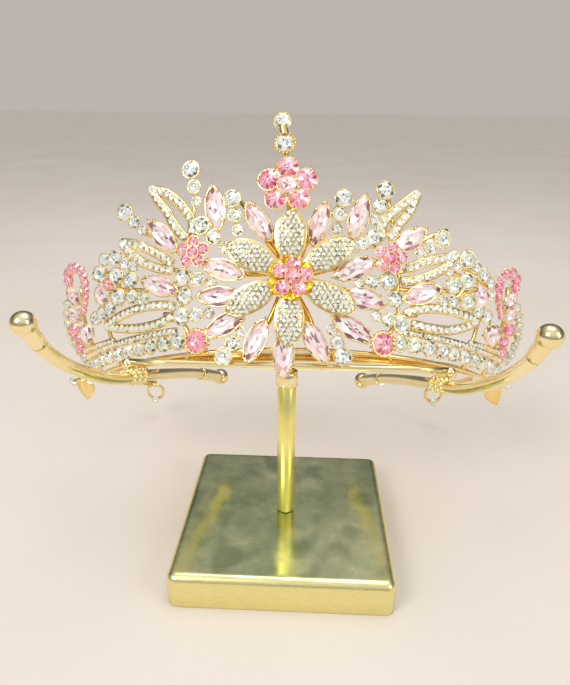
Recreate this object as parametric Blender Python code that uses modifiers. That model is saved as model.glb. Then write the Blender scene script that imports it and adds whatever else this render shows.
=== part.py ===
"""A jewelled tiara on its plain brass display stand.

Metres, +Z up. The origin is the centre of the foot of the base. The tiara faces -Y.

Everything on the tiara's crest is laid out in crest coordinates, in millimetres: u runs along
the lower edge of the crest from its middle, positive to +X, v runs up the crest, and d stands
out of its face. crest_point turns them into a place on the real, curved and leaning crest.
"""

import math

import bmesh
import bpy
from mathutils import Matrix, Vector

MM = 0.001
WELD = 0.000001
UNION_WELD = 0.00000001

# Stand
BASE_SIDE = 70.0
BASE_HEIGHT = 11.5
BASE_BEVEL = 2.0
BASE_CORNER = 2.4
GAP = 0.3
POST_RADIUS = 2.95
COLLAR_RADIUS = 3.5
COLLAR_BOTTOM = 60.0
COLLAR_HEIGHT = 5.0
COLLAR_BORE = 2.2
COLLAR_BORE_DEPTH = 3.0
NECK_RADIUS = 1.1
CROSSBAR_RADIUS = 1.05
CROSSBAR_HEIGHT = 66.6
CROSSBAR_REACH = 51.5
KNUCKLE_RADIUS = 1.9
KNUCKLE_DROP = 0.8
ARM_RADIUS = 1.95
ARM_BALL_RADIUS = 3.35
# The right arm, from its outer ball in front, under the crossbar's end, to its inner ball behind
ARM_ROUTE = (
    # x, y, z
    (64.5, -36.0, 92.5),
    (62.0, -32.0, 83.5),
    (58.0, -24.5, 75.0),
    (53.0, -11.5, 66.0),
    (48.5, 1.0, 61.0),
    (43.0, 15.0, 55.5),
    (36.5, 32.0, 48.0),
    (29.0, 46.5, 40.0),
)

# Tiara's place on the stand
TIARA_FRONT = (0.0, -2.2, 72.2)
TIARA_ROLL = math.radians(1.2)
CREST_RADIUS = 90.0
CREST_TILT = math.radians(39.5)
CREST_FLARE_FRONT = math.radians(13.0)
CREST_FLARE_SIDE = math.radians(37.0)

# Hoop: a flat strip bent to a U, which a head goes into
HOOP_DROP = 0.6
HOOP_SET_BACK = 6.2
HOOP_HALF_WIDTH = 75.0
HOOP_DEPTH = 66.0
HOOP_TILT = math.radians(31.5)
HOOP_SPAN = math.radians(117.0)
HOOP_POINTS = 25
STRIP_HEIGHT = 2.9
STRIP_THICKNESS = 0.9
RING_RADIUS = 3.8
RING_WIRE = 0.7
RING_SIDES = 10

# Depths out of the crest's face
WIRE_RADIUS = 0.7
WIRE_DEPTH = -1.05
ARC_DEPTH = -0.95
# Ribs that cross lie at slightly different depths, so that their faces don't coincide
RIB_STAGGER = 0.07
STEM_DEPTH = 0.55
STEM_RADIUS = 0.55
STONE_DEPTH = 0.0
PETAL_DEPTH = 2.8
HEART_DEPTH = 4.5
FLOWER_DEPTH = 2.7
POST_DEPTH = -0.05

# Stones
FACETS = 8
BIG, MIDDLE, SMALL = 2.8, 2.15, 1.7
# A stone's crown and cup are each this share of its radius, and the same small height more
CROWN_SHARE = 0.36
CUP_SHARE = 0.2
CUT_HEIGHT = 0.3
TABLE_SHARE = 0.58
CUP_FOOT_SHARE = 0.82
# How much a marquise's outline is drawn in towards its points
POINTEDNESS = 0.28
MARQUISE_LENGTH = 13.4
MARQUISE_WIDTH = 6.2
MARQUISE_SIDES = 10

# Centre flower
FLOWER_CENTRE = (0.3, 23.6)
PETAL_INNER = 5.0
PETAL_LENGTH = 16.8
PETAL_WIDTH = 9.0
PETAL_ANGLES = (90, 35, -26, -90, 206, 148)
PETAL_TIP_HALF = 0.9
PETAL_DOME = 1.3
PETAL_THICKNESS = 0.9

# Flowers of round stones
FLOWER_STONES = 5
PLATE_THICKNESS = 0.9

GOLD = (0.90, 0.66, 0.27)
BRASS = (0.86, 0.68, 0.30)
CLEAR = (0.90, 0.93, 0.96)
PALE_PINK = (0.95, 0.74, 0.80)
PINK = (0.93, 0.36, 0.52)

MARQUISES = (
    # name, u, v, degrees from +u
    ("top_left", -9.6, 41.8, -58),
    ("top_right", 9.0, 41.6, 255),
    ("upper_left", -20.0, 27.8, -20),
    ("upper_right", 19.4, 27.2, 25),
    ("middle_left", -21.6, 18.4, -4),
    ("middle_right", 23.2, 18.4, -6),
    ("lower_left", -19.8, 9.3, 24),
    ("lower_right", 20.8, 8.0, -24),
    ("bottom_left", -10.8, 2.9, 68),
    ("bottom_right", 9.2, 2.3, 122),
    ("bottom", -1.0, -1.2, 88),
    ("crest_left", -22.9, 47.6, -86),
    ("crest_right", 19.5, 43.8, 256),
    ("wing_left", -39.4, 40.2, -53),
    ("wing_right", 34.5, 38.0, 220),
    ("side_left", -41.2, 24.4, -24),
    ("side_right", 41.6, 22.2, 204),
)

# A spray is three graded stones on one stem, the big one at its outer end
STEMS = (
    # name, outer u, outer v, inner u, inner v
    ("inner_left", -16.6, 50.0, -15.4, 39.6),
    ("inner_right", 14.4, 50.2, 13.6, 40.2),
    ("tall_left", -28.6, 61.0, -27.4, 50.0),
    ("tall_right", 26.6, 54.2, 24.6, 43.8),
    ("far_left", -50.2, 51.6, -45.0, 44.0),
    ("far_right", 45.6, 41.6, 39.6, 36.0),
)
HALO_SPRAYS = (
    # side, outer u, outer v, inner u, inner v
    ("left", -27.2, 42.0, -19.8, 34.2),
    ("left", -33.2, 26.2, -24.6, 23.2),
    ("left", -34.6, 13.4, -25.2, 13.4),
    ("left", -20.6, -0.8, -15.0, 6.4),
    ("right", 24.8, 37.6, 18.4, 33.6),
    ("right", 30.6, 24.6, 21.4, 22.8),
    ("right", 35.4, 12.6, 26.4, 13.8),
    ("right", 18.0, -1.0, 14.4, 7.0),
)
# A stone between two big ones of a halo, and the wire from one to the other
HALO_LINKS = (
    # side, radius, (u, v) of the big stone above, of the stone and of the big stone below
    ("left", 2.5, ((-33.2, 26.2), (-32.7, 19.8), (-34.6, 13.4))),
    ("right", 2.0, ((30.6, 24.6), (32.4, 18.9), (35.4, 12.6))),
)
HALO_RADIUS = 23.5
# First, last and step of the bearings along the arc, in degrees from the flower's level
HALO_ARC = (-54, 36, 9)
SIDE_SPRAYS = (
    # side, outer u, outer v, inner u, inner v
    ("left", -56.6, 38.0, -50.0, 33.4),
    ("left", -64.0, 34.4, -51.4, 28.6),
    ("left", -58.4, 24.8, -48.6, 22.2),
    ("left", -71.2, 20.6, -63.2, 21.4),
    ("right", 54.6, 37.4, 62.2, 33.6),
    ("right", 57.0, 29.8, 49.6, 26.4),
    ("right", 59.4, 24.2, 50.0, 22.4),
    ("right", 69.4, 21.2, 64.2, 22.4),
)

LEAVES = (
    # name, tip u, tip v, root u, root v, half width of the opening, bend of the middle line
    ("upper_left", -41.2, 57.8, -31.6, 40.0, 2.4, -1.7),
    ("upper_right", 35.6, 55.0, 29.0, 39.4, 2.2, 0.7),
    ("middle_left", -53.4, 42.4, -36.6, 29.6, 2.3, 0.0),
    ("middle_right", 50.6, 37.2, 35.2, 26.2, 2.4, 0.0),
    ("lower_left", -66.4, 16.2, -38.0, 15.4, 3.5, 0.0),
    ("lower_right", 64.4, 17.6, 39.6, 15.0, 3.5, 0.0),
)
# Share of its half width that a leaf has bowed out at equal steps from root to tip
LEAF_BOW = (0.0, 0.9, 1.0, 0.94, 0.72, 0.34, 0.0)
LEAF_WIRE = 0.95

# The lower edge of the crest, and where bridges tie it to the hoop
EDGE_V = 0.8
EDGE_STEPS = 9
BRIDGE_PLACES = (9.0, 34.0, 58.0, 80.0)
BRIDGE_TO_HOOP = 72.0

# Ribs of the frame on one side, in crest coordinates; the other side mirrors them
SIDE_RIBS = (
    ((31.0, 0.8), (31.0, 13.0), (30.2, 34.0), (29.4, 41.0), (26.8, 52.0)),
    ((29.8, 37.0), (22.4, 45.4)),
    ((30.4, 31.0), (38.4, 38.8), (46.0, 44.0)),
    ((30.6, 26.6), (37.6, 29.8)),
    ((30.8, 22.0), (44.0, 23.4), (62.0, 27.0), (65.4, 17.0), (65.0, 0.8)),
    ((31.0, 13.0), (40.6, 15.0)),
    ((78.0, 0.8), (78.0, 20.0), (73.4, 33.0)),
)

# The rows along the foot: height, first stone, pitch and count, first and last radius, line above
ROW_V = 5.3
ROW_START = 37.6
ROW_PITCH = 5.7
ROW_COUNT = 9
ROW_RADII = (2.5, 1.9)
ROW_LINE_V = 9.0

CHATON_RADIUS = 3.7
CHATONS = (("left", -30.0, 4.6), ("right", 30.8, 4.3))
SMALL_FLOWERS = (("left", -29.6, 33.8), ("right", 30.2, 31.8))
TOP_FLOWER = (-1.2, 54.0)
FINIAL_LOWER = (-2.0, 67.0)
FINIAL_TOP = (-2.8, 75.4)

# The hook at each side: a cane of small stones whose crook is at the top
HOOK_STEM = ((-76.4, 25.0), (-72.6, 30.0), (-71.4, 35.6), (-73.0, 39.6), (-77.0, 40.4), (-79.4, 37.6))
HOOK_RIGHT_SHIFT = (1.6, -2.4)
SIDE_CHAIN_RADII = (3.0, SMALL, MIDDLE, MIDDLE, SMALL)
SIDE_CHAIN = ((-79.6, 17.0), (-85.6, 13.6), (-92.4, 18.6), (-88.0, 26.6), (-81.6, 31.4))


def crest_point(u, v, d=0.0):
    """Place of a point of the crest in the row frame.

    The foot of the crest is a circle of radius R in a plane that falls to the back by the tilt t:
    at the angle a = u / R it is (R sin a, R (1 - cos a)) across and back. v then rises from
    that plane, leaning out by a flare that grows with sin(a) squared from the middle to the sides.

    Args:
        u, v, d: crest coordinates in millimetres.

    Returns:
        A Vector in millimetres.
    """
    angle = u / CREST_RADIUS
    flare = CREST_FLARE_FRONT + (CREST_FLARE_SIDE - CREST_FLARE_FRONT) * math.sin(angle) ** 2
    out = v * math.sin(flare) + d * math.cos(flare)
    rise = v * math.cos(flare) - d * math.sin(flare)
    across = (CREST_RADIUS + out) * math.sin(angle)
    back = CREST_RADIUS - (CREST_RADIUS + out) * math.cos(angle)
    return tiara_point(across, back, rise, CREST_TILT)


def tiara_point(across, back, rise, tilt):
    """Place in the row frame of a point given in a plane that falls to the back by tilt.

    The tiara hangs lower at -x than at +x, by the slope tan(TIARA_ROLL).
    """
    y = back * math.cos(tilt) + rise * math.sin(tilt)
    z = rise * math.cos(tilt) - back * math.sin(tilt)
    return Vector(TIARA_FRONT) + Vector((across, y, z + across * math.tan(TIARA_ROLL)))


def crest_matrix(u, v, d=0.0, turn=0.0):
    """Matrix, in metres, that stands a piece on the crest: X along u, Y along v, Z out of it."""
    step = 0.05
    here = crest_point(u, v, d)
    along = (crest_point(u + step, v, d) - here).normalized()
    outward = along.cross(crest_point(u, v + step, d) - here).normalized()
    upward = outward.cross(along)
    turned = Matrix((along, upward, outward)).transposed() @ Matrix.Rotation(turn, 3, "Z")
    return Matrix.Translation(here * MM) @ turned.to_4x4()


def clear_scene():
    """Remove every object and make the two collections."""
    for item in list(bpy.data.objects):
        bpy.data.objects.remove(item, do_unlink=True)
    parts = bpy.data.collections.new("tiara_on_stand")
    helpers = bpy.data.collections.new("helpers")
    bpy.context.scene.collection.children.link(parts)
    bpy.context.scene.collection.children.link(helpers)
    return parts, helpers


def make_material(name, colour, roughness, metallic):
    """A Principled material with one plain colour."""
    material = bpy.data.materials.new(name)
    material.use_nodes = True
    shader = material.node_tree.nodes["Principled BSDF"]
    shader.inputs["Base Color"].default_value = (*colour, 1.0)
    shader.inputs["Roughness"].default_value = roughness
    shader.inputs["Metallic"].default_value = metallic
    return material


def object_from_bmesh(name, bm, collection):
    """Turn a bmesh into an object with its faces pointing out."""
    bmesh.ops.recalc_face_normals(bm, faces=bm.faces)
    mesh = bpy.data.meshes.new(name)
    bm.to_mesh(mesh)
    bm.free()
    item = bpy.data.objects.new(name, mesh)
    collection.objects.link(item)
    return item


def finish(item, material, smooth=True):
    """Give a piece its material and, if it is round, smooth shading with sharp edges."""
    item.data.materials.clear()
    item.data.materials.append(material)
    if smooth:
        item.data.shade_smooth()
        item.data.set_sharp_from_angle(angle=math.radians(35))
    return item


def baked(item, name, collection, weld=WELD):
    """Swap an object for a plain mesh of its evaluated shape, with its caps welded."""
    bpy.context.view_layer.update()
    depsgraph = bpy.context.evaluated_depsgraph_get()
    mesh = bpy.data.meshes.new_from_object(item.evaluated_get(depsgraph))
    bm = bmesh.new()
    bm.from_mesh(mesh)
    bmesh.ops.remove_doubles(bm, verts=bm.verts, dist=weld)
    bmesh.ops.transform(bm, matrix=item.matrix_world, verts=bm.verts)
    bpy.data.meshes.remove(mesh)
    bpy.data.objects.remove(item, do_unlink=True)
    return object_from_bmesh(name, bm, collection)


def wire(name, points, radius, collection, smooth=False, bevel_resolution=1, steps=2, closed=False):
    """A round wire through points in millimetres, as a closed mesh.

    Args:
        smooth: run a smooth curve through the points in place of straight runs.
        bevel_resolution: 1 gives 6 sides, and each step more gives 2 more.
        steps: runs from one point to the next of a smooth curve.
        closed: join the last point to the first.
    """
    curve = bpy.data.curves.new(name, "CURVE")
    curve.dimensions = "3D"
    curve.bevel_depth = radius * MM
    curve.bevel_resolution = bevel_resolution
    curve.use_fill_caps = True
    if smooth:
        spline = curve.splines.new("BEZIER")
        spline.bezier_points.add(len(points) - 1)
        curve.resolution_u = steps
        for place, point in zip(spline.bezier_points, points):
            place.co = Vector(point) * MM
            place.handle_left_type = "AUTO"
            place.handle_right_type = "AUTO"
    else:
        spline = curve.splines.new("POLY")
        spline.points.add(len(points) - 1)
        for place, point in zip(spline.points, points):
            place.co = (*(Vector(point) * MM), 1.0)
    spline.use_cyclic_u = closed
    item = bpy.data.objects.new(name + "_curve", curve)
    collection.objects.link(item)
    return baked(item, name, collection)


def crest_wire(name, route, radius, depth, collection, bevel_resolution=1):
    """A wire on the crest through (u, v) points, at one depth."""
    points = [crest_point(u, v, depth) for u, v in route]
    return wire(name, points, radius, collection, bevel_resolution=bevel_resolution)


def ball(name, centre, radius, collection, segments=10, rings=6):
    """A plain ball."""
    bm = bmesh.new()
    place = Matrix.Translation(Vector(centre) * MM)
    bmesh.ops.create_uvsphere(bm, u_segments=segments, v_segments=rings, radius=radius * MM, matrix=place)
    return object_from_bmesh(name, bm, collection)


def disc(name, matrix, radius, bottom, top, collection, segments=10):
    """A short round plate or plug, from one depth to another along the matrix's Z."""
    bm = bmesh.new()
    middle = Matrix.Translation((0.0, 0.0, (bottom + top) / 2 * MM))
    bmesh.ops.create_cone(
        bm,
        cap_ends=True,
        segments=segments,
        radius1=radius * MM,
        radius2=radius * MM,
        depth=(top - bottom) * MM,
        matrix=matrix @ middle,
    )
    return object_from_bmesh(name, bm, collection)


def cut_stone(name, matrix, radius, collection, sides=FACETS, length=None, width=None, cupped=True):
    """A cut stone in its setting: a table, one crown facet for each side, a girdle and a cup.

    A small stone that sits on a wire or a plate has no cup of its own. A marquise has a length L
    and a width W in place of a radius, and its outline is drawn out to two points: at the angle a
    it is (L/2 cos a, W/2 sin a (1 - p cos(a) squared)), where p is its pointedness.
    """
    crown = CROWN_SHARE * radius + CUT_HEIGHT
    cup = CUP_SHARE * radius + CUT_HEIGHT
    bm = bmesh.new()
    lift = Matrix.Translation((0.0, 0.0, cup + crown / 2))
    bmesh.ops.create_cone(
        bm, cap_ends=True, segments=sides, radius1=radius, radius2=TABLE_SHARE * radius, depth=crown, matrix=lift
    )
    foot = min(bm.faces, key=lambda face: face.calc_center_median().z)
    if cupped:
        grown = bmesh.ops.extrude_face_region(bm, geom=[foot])
        rim = [part for part in grown["geom"] if isinstance(part, bmesh.types.BMVert)]
        bmesh.ops.delete(bm, geom=[foot], context="FACES_ONLY")
        bmesh.ops.translate(bm, verts=rim, vec=(0.0, 0.0, -cup))
        bmesh.ops.scale(bm, verts=rim, vec=(CUP_FOOT_SHARE, CUP_FOOT_SHARE, 1.0))
    else:
        bmesh.ops.translate(bm, verts=list(foot.verts), vec=(0.0, 0.0, -cup))
    if length:
        for vert in bm.verts:
            cosine = vert.co.x / radius
            vert.co.x *= length / (2 * radius)
            vert.co.y *= width / (2 * radius) * (1 - POINTEDNESS * cosine * cosine)
    bmesh.ops.scale(bm, verts=bm.verts, vec=(MM, MM, MM))
    bmesh.ops.transform(bm, matrix=matrix, verts=bm.verts)
    return object_from_bmesh(name, bm, collection)


def fuse(name, pieces, collection, material, solver="EXACT"):
    """Join pieces that meet into one body. MANIFOLD copes with wires that share a centre line."""
    group = bpy.data.collections.new(name + "_pieces")
    for piece in pieces[1:]:
        group.objects.link(piece)
    union = pieces[0].modifiers.new("union", "BOOLEAN")
    union.operation = "UNION"
    union.operand_type = "COLLECTION"
    union.collection = group
    union.solver = solver
    item = baked(pieces[0], name, collection, UNION_WELD)
    for piece in pieces[1:]:
        bpy.data.objects.remove(piece, do_unlink=True)
    bpy.data.collections.remove(group)
    return finish(item, material, smooth=False)


def build_base(parts, material):
    """The square slab: rounded upright corners and a rounded top edge."""
    bm = bmesh.new()
    size = Matrix.Diagonal((BASE_SIDE * MM, BASE_SIDE * MM, BASE_HEIGHT * MM, 1.0))
    lift = Matrix.Translation((0.0, 0.0, BASE_HEIGHT / 2 * MM))
    bmesh.ops.create_cube(bm, size=1.0, matrix=lift @ size)
    upright = [edge for edge in bm.edges if abs(edge.verts[0].co.z - edge.verts[1].co.z) > MM]
    bmesh.ops.bevel(bm, geom=upright, offset=BASE_CORNER * MM, segments=3, profile=0.5, affect="EDGES")
    top = [edge for edge in bm.edges if min(vert.co.z for vert in edge.verts) > (BASE_HEIGHT - 0.01) * MM]
    bmesh.ops.bevel(bm, geom=top, offset=BASE_BEVEL * MM, segments=3, profile=0.5, affect="EDGES")
    return finish(object_from_bmesh("stand_base", bm, parts), material)


def build_post(parts, material):
    """The upright rod and the open collar on its top."""
    upright = Matrix.Identity(4)
    post = disc("stand_post", upright, POST_RADIUS, BASE_HEIGHT + GAP, COLLAR_BOTTOM - GAP, parts, 16)
    finish(post, material)
    top = COLLAR_BOTTOM + COLLAR_HEIGHT
    floor = top - COLLAR_BORE_DEPTH
    profile = (
        (0.0, floor),
        (COLLAR_BORE, floor),
        (COLLAR_BORE, top),
        (COLLAR_RADIUS - 0.3, top),
        (COLLAR_RADIUS, top - 0.3),
        (COLLAR_RADIUS, COLLAR_BOTTOM),
        (0.0, COLLAR_BOTTOM),
    )
    mesh = bpy.data.meshes.new("stand_collar")
    edges = [(index, index + 1) for index in range(len(profile) - 1)]
    mesh.from_pydata([(radius * MM, 0.0, z * MM) for radius, z in profile], edges, [])
    collar = bpy.data.objects.new("stand_collar", mesh)
    parts.objects.link(collar)
    screw = collar.modifiers.new("turn", "SCREW")
    screw.steps = 16
    screw.render_steps = 16
    screw.use_merge_vertices = True
    screw.merge_threshold = 0.00001
    finish(baked(collar, "stand_collar", parts), material)


def build_crossbar(parts, helpers, material):
    """The thin rod across the collar, its neck, and a knuckle at each end."""
    z = CROSSBAR_HEIGHT
    foot = COLLAR_BOTTOM + COLLAR_HEIGHT - COLLAR_BORE_DEPTH + GAP
    rod = wire("rod", ((-CROSSBAR_REACH, 0, z), (0, 0, z), (CROSSBAR_REACH, 0, z)), CROSSBAR_RADIUS, helpers)
    neck = wire("neck", ((0, 0, foot), (0, 0, z)), NECK_RADIUS, helpers)
    low = z - KNUCKLE_DROP
    knuckles = [ball("knuckle", (side * CROSSBAR_REACH, 0, low), KNUCKLE_RADIUS, helpers) for side in (-1, 1)]
    return fuse("stand_crossbar", [rod, neck, *knuckles], parts, material)


def build_arm(side, name, parts, helpers, material):
    """One curved arm with a ball at both ends; side is -1 for the left."""
    route = [(side * x, y, z) for x, y, z in ARM_ROUTE]
    tube = wire("tube", route, ARM_RADIUS, helpers, smooth=True, bevel_resolution=2)
    balls = [ball("end", point, ARM_BALL_RADIUS, helpers, 10, 8) for point in (route[0], route[-1])]
    return fuse(name, [tube, *balls], parts, material)


def hoop_point(angle, rise=0.0):
    """Place on the hoop, by the angle round its ellipse from the middle of the front."""
    across = HOOP_HALF_WIDTH * math.sin(angle)
    back = HOOP_SET_BACK + HOOP_DEPTH - HOOP_DEPTH * math.cos(angle)
    return tiara_point(across, back, rise - HOOP_DROP, HOOP_TILT)


def build_strip(helpers):
    """The hoop's flat strip: a ribbon along the ellipse, given its thickness."""
    bm = bmesh.new()
    bmesh.ops.create_grid(bm, x_segments=HOOP_POINTS, y_segments=1, size=1.0)
    for vert in bm.verts:
        angle = vert.co.x * HOOP_SPAN
        vert.co = hoop_point(angle, vert.co.y * STRIP_HEIGHT / 2) * MM
    strip = object_from_bmesh("strip", bm, helpers)
    thick = strip.modifiers.new("thickness", "SOLIDIFY")
    thick.thickness = STRIP_THICKNESS * MM
    thick.offset = 0.0
    return baked(strip, "strip", helpers)


def build_ring(side, helpers):
    """The small ring under each end of the hoop."""
    end = hoop_point(side * HOOP_SPAN, -RING_RADIUS)
    points = []
    for step in range(RING_SIDES):
        turn = math.tau * step / RING_SIDES
        points.append(end + Vector((RING_RADIUS * math.cos(turn), 0.0, RING_RADIUS * math.sin(turn))))
    return wire("ring", points, RING_WIRE, helpers, closed=True)


def build_frame(parts, helpers, material):
    """The soldered frame: hoop, rings, the crest's lower wires, its spine and its ribs."""
    span = ROW_START + ROW_PITCH * ROW_COUNT
    edge = [(span * step / EDGE_STEPS, EDGE_V) for step in range(-EDGE_STEPS, EDGE_STEPS + 1)]
    pieces = [build_strip(helpers)]
    pieces.append(crest_wire("edge", edge, WIRE_RADIUS, WIRE_DEPTH, helpers))
    for side in (-1, 1):
        pieces.append(build_ring(side, helpers))
        for u in BRIDGE_PLACES:
            start = crest_point(side * u, EDGE_V, WIRE_DEPTH)
            end = hoop_point(side * u / BRIDGE_TO_HOOP, 0.2)
            pieces.append(wire("bridge", (start, end), WIRE_RADIUS, helpers))
    pieces += frame_ribs(helpers)
    return fuse("tiara_frame", pieces, parts, material, "MANIFOLD")


def frame_ribs(helpers):
    """The wires behind the stones, each from the lower edge or the spine outward."""
    centre = FLOWER_CENTRE
    routes = [[(0.0, -1.0), centre, (-1.0, 52.0), FINIAL_LOWER, (-2.3, 71.0)]]
    for side in (-1, 1):
        for route in SIDE_RIBS:
            routes.append([(side * u, v) for u, v in route])
        routes.append([(side * 12.0, EDGE_V), centre, (side * 14.6, 48.6)])
    ribs = []
    for number, route in enumerate(routes):
        depth = WIRE_DEPTH - RIB_STAGGER * (number % 5)
        ribs.append(crest_wire("rib", route, WIRE_RADIUS, depth, helpers, bevel_resolution=0))
    return ribs


def petal_width(t):
    """Share of a petal's width at t along it: 0.5 + 0.5 sin(pi t) up to its middle, then a
    blunt end, (1 - (2 t - 1)^2.4)^0.7."""
    if t < 0.5:
        return 0.5 + 0.5 * math.sin(math.pi * t)
    return (1 - (2 * t - 1) ** 2.4) ** 0.7


def build_petals(parts, material):
    """Six domed petals, blunt at the tip, round the flower's centre.

    Along its length t from 0 to 1 a petal's half width is W/2 times petal_width, and its face
    rises as a low dome.
    """
    for number, degrees in enumerate(PETAL_ANGLES, start=1):
        turn = math.radians(degrees)
        bm = bmesh.new()
        bmesh.ops.create_grid(bm, x_segments=6, y_segments=4, size=1.0)
        for vert in bm.verts:
            t = (vert.co.x + 1) / 2
            half = max(PETAL_WIDTH / 2 * petal_width(t), PETAL_TIP_HALF)
            reach = PETAL_INNER + PETAL_LENGTH * t
            side = vert.co.y * half
            u = FLOWER_CENTRE[0] + reach * math.cos(turn) - side * math.sin(turn)
            v = FLOWER_CENTRE[1] + reach * math.sin(turn) + side * math.cos(turn)
            dome = PETAL_DEPTH + PETAL_DOME * math.sin(math.pi * t) * (1 - vert.co.y**2)
            vert.co = crest_point(u, v, dome) * MM
        petal = object_from_bmesh(f"petal_{number}", bm, parts)
        thick = petal.modifiers.new("thickness", "SOLIDIFY")
        thick.thickness = PETAL_THICKNESS * MM
        thick.offset = 1.0
        finish(baked(petal, f"petal_{number}", parts), material)


def build_flower(name, centre, depth, stone, reach, start, parts, helpers, material):
    """A flower of round stones on one backing plate.

    Args:
        centre: (u, v) of its middle.
        depth: depth of the plate's back.
        stone: radius of the outer stones; the middle one is a little smaller.
        reach: from the middle to the outer stones.
        start: degrees of the first outer stone.
    """
    matrix = crest_matrix(*centre, depth)
    pieces = [disc("plate", matrix, reach + 0.5 * stone, 0.0, PLATE_THICKNESS, helpers)]
    pieces.append(disc("post", matrix, 0.5 * stone, POST_DEPTH - depth, 0.3, helpers, 8))
    lift = Matrix.Translation((0.0, 0.0, 0.5 * MM))
    pieces.append(cut_stone("middle", matrix @ lift, reach - stone - 0.05, helpers, cupped=False))
    for number in range(FLOWER_STONES):
        turn = math.radians(start) + math.tau * number / FLOWER_STONES
        place = Matrix.Translation((reach * math.cos(turn) * MM, reach * math.sin(turn) * MM, 0.4 * MM))
        pieces.append(cut_stone("stone", matrix @ place, stone, helpers, cupped=False))
    return fuse(name, pieces, parts, material)


def spray_pieces(outer, inner, helpers, arc_end=None, radii=(BIG, MIDDLE, SMALL)):
    """Three graded stones in a line on their stem, as loose pieces to be fused.

    Args:
        outer, inner: (u, v) of the big and the small stone.
        arc_end: (u, v) where the stem dips to a wire behind the stones, if it does.
    """
    start, end = Vector(outer), Vector(inner)
    length = (end - start).length
    middle = start.lerp(end, 0.5 + 0.25 * (radii[0] - radii[2]) / length)
    places = (start, middle, end)
    route = [crest_point(*start, STEM_DEPTH), crest_point(*end, STEM_DEPTH)]
    if arc_end:
        route.append(crest_point(*arc_end, ARC_DEPTH))
    pieces = [wire("stem", route, STEM_RADIUS, helpers, bevel_resolution=0)]
    for (u, v), radius in zip(places, radii):
        place = crest_matrix(u, v, STONE_DEPTH)
        pieces.append(cut_stone("stone", place, radius, helpers, cupped=radius == BIG))
    return pieces


def build_stems(parts, helpers, material):
    """The six stems of graded stones that stand up from the crest."""
    for name, outer_u, outer_v, inner_u, inner_v in STEMS:
        pieces = spray_pieces((outer_u, outer_v), (inner_u, inner_v), helpers)
        fuse("stem_" + name, pieces, parts, material)


def halo_point(sign, bearing):
    """(u, v) on the arc of wire round the centre flower, at a bearing from its level."""
    u = FLOWER_CENTRE[0] + sign * HALO_RADIUS * math.cos(bearing)
    return u, FLOWER_CENTRE[1] + HALO_RADIUS * math.sin(bearing)


def build_halos(parts, helpers, material):
    """The short sprays round the centre flower, joined on each side by an arc of wire."""
    for side, sign in (("left", -1), ("right", 1)):
        first, last, step = HALO_ARC
        arc = [halo_point(sign, math.radians(degrees)) for degrees in range(first, last + 1, step)]
        pieces = [crest_wire("arc", arc, STEM_RADIUS - 0.05, ARC_DEPTH, helpers)]
        for place, outer_u, outer_v, inner_u, inner_v in HALO_SPRAYS:
            if place == side:
                bearing = math.atan2(inner_v - FLOWER_CENTRE[1], abs(inner_u - FLOWER_CENTRE[0]))
                arc_end = halo_point(sign, bearing)
                pieces += spray_pieces((outer_u, outer_v), (inner_u, inner_v), helpers, arc_end)
        for place, radius, route in HALO_LINKS:
            if place == side:
                pieces.append(crest_wire("link", route, 0.5, STEM_DEPTH, helpers, 0))
                spot = crest_matrix(*route[1], STONE_DEPTH)
                pieces.append(cut_stone("stone", spot, radius, helpers, cupped=False))
        fuse("halo_" + side, pieces, parts, material)


def leaf_route(tip, root, half, bend, side):
    """One strand of an open leaf: it bows out from the root and closes at the tip.

    At the share t from root to tip it stands bend sin(pi t) off the straight line, and then its
    own side's bow further out.
    """
    tip, root = Vector(tip), Vector(root)
    along = tip - root
    across = Vector((-along.y, along.x)).normalized()
    points = []
    for step, bow in enumerate(LEAF_BOW):
        t = step / (len(LEAF_BOW) - 1)
        off = bend * math.sin(math.pi * t) + side * half * bow
        points.append(tuple(root + along * t + across * off))
    return points


def build_leaves(parts, helpers, material):
    """The six open leaves: two bowed strands that meet at the tip and the root."""
    for name, tip_u, tip_v, root_u, root_v, half, bend in LEAVES:
        strands = []
        for side in (-1, 1):
            route = leaf_route((tip_u, tip_v), (root_u, root_v), half, bend, side)
            strands.append(crest_wire("strand", route, LEAF_WIRE, LEAF_WIRE, helpers))
        fuse("leaf_" + name, strands, parts, material)


def build_rows(parts, helpers, material):
    """The graded row of stones along each side of the crest's foot, under its thin line."""
    for side, sign in (("left", -1), ("right", 1)):
        reach = ROW_START + ROW_PITCH * (ROW_COUNT - 1)
        low = [(sign * (ROW_START + (reach - ROW_START) * step / 6), ROW_V) for step in range(7)]
        high = [(u, ROW_LINE_V) for u, _ in low]
        pieces = [crest_wire("low", low, 0.5, STEM_DEPTH, helpers, bevel_resolution=0)]
        pieces.append(crest_wire("high", high, 0.8, 0.6, helpers))
        for number in range(ROW_COUNT):
            u = sign * (ROW_START + ROW_PITCH * number)
            t = number / (ROW_COUNT - 1)
            radius = ROW_RADII[0] + (ROW_RADII[1] - ROW_RADII[0]) * t
            place = crest_matrix(u, ROW_V, STONE_DEPTH)
            pieces.append(cut_stone("stone", place, radius, helpers, cupped=False))
            if number in (1, 4, 7):
                tie = [(u, ROW_V), (u, ROW_LINE_V)]
                pieces.append(crest_wire("tie", tie, 0.5, 0.4, helpers, bevel_resolution=0))
        fuse("row_" + side, pieces, parts, material)


def build_marquises(parts, material):
    """The pointed stones, each in its own setting."""
    for name, u, v, degrees in MARQUISES:
        matrix = crest_matrix(u, v, STONE_DEPTH, math.radians(degrees))
        item = cut_stone(
            "marquise_" + name,
            matrix,
            MARQUISE_WIDTH / 2,
            parts,
            MARQUISE_SIDES,
            MARQUISE_LENGTH,
            MARQUISE_WIDTH,
        )
        finish(item, material, smooth=False)


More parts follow.
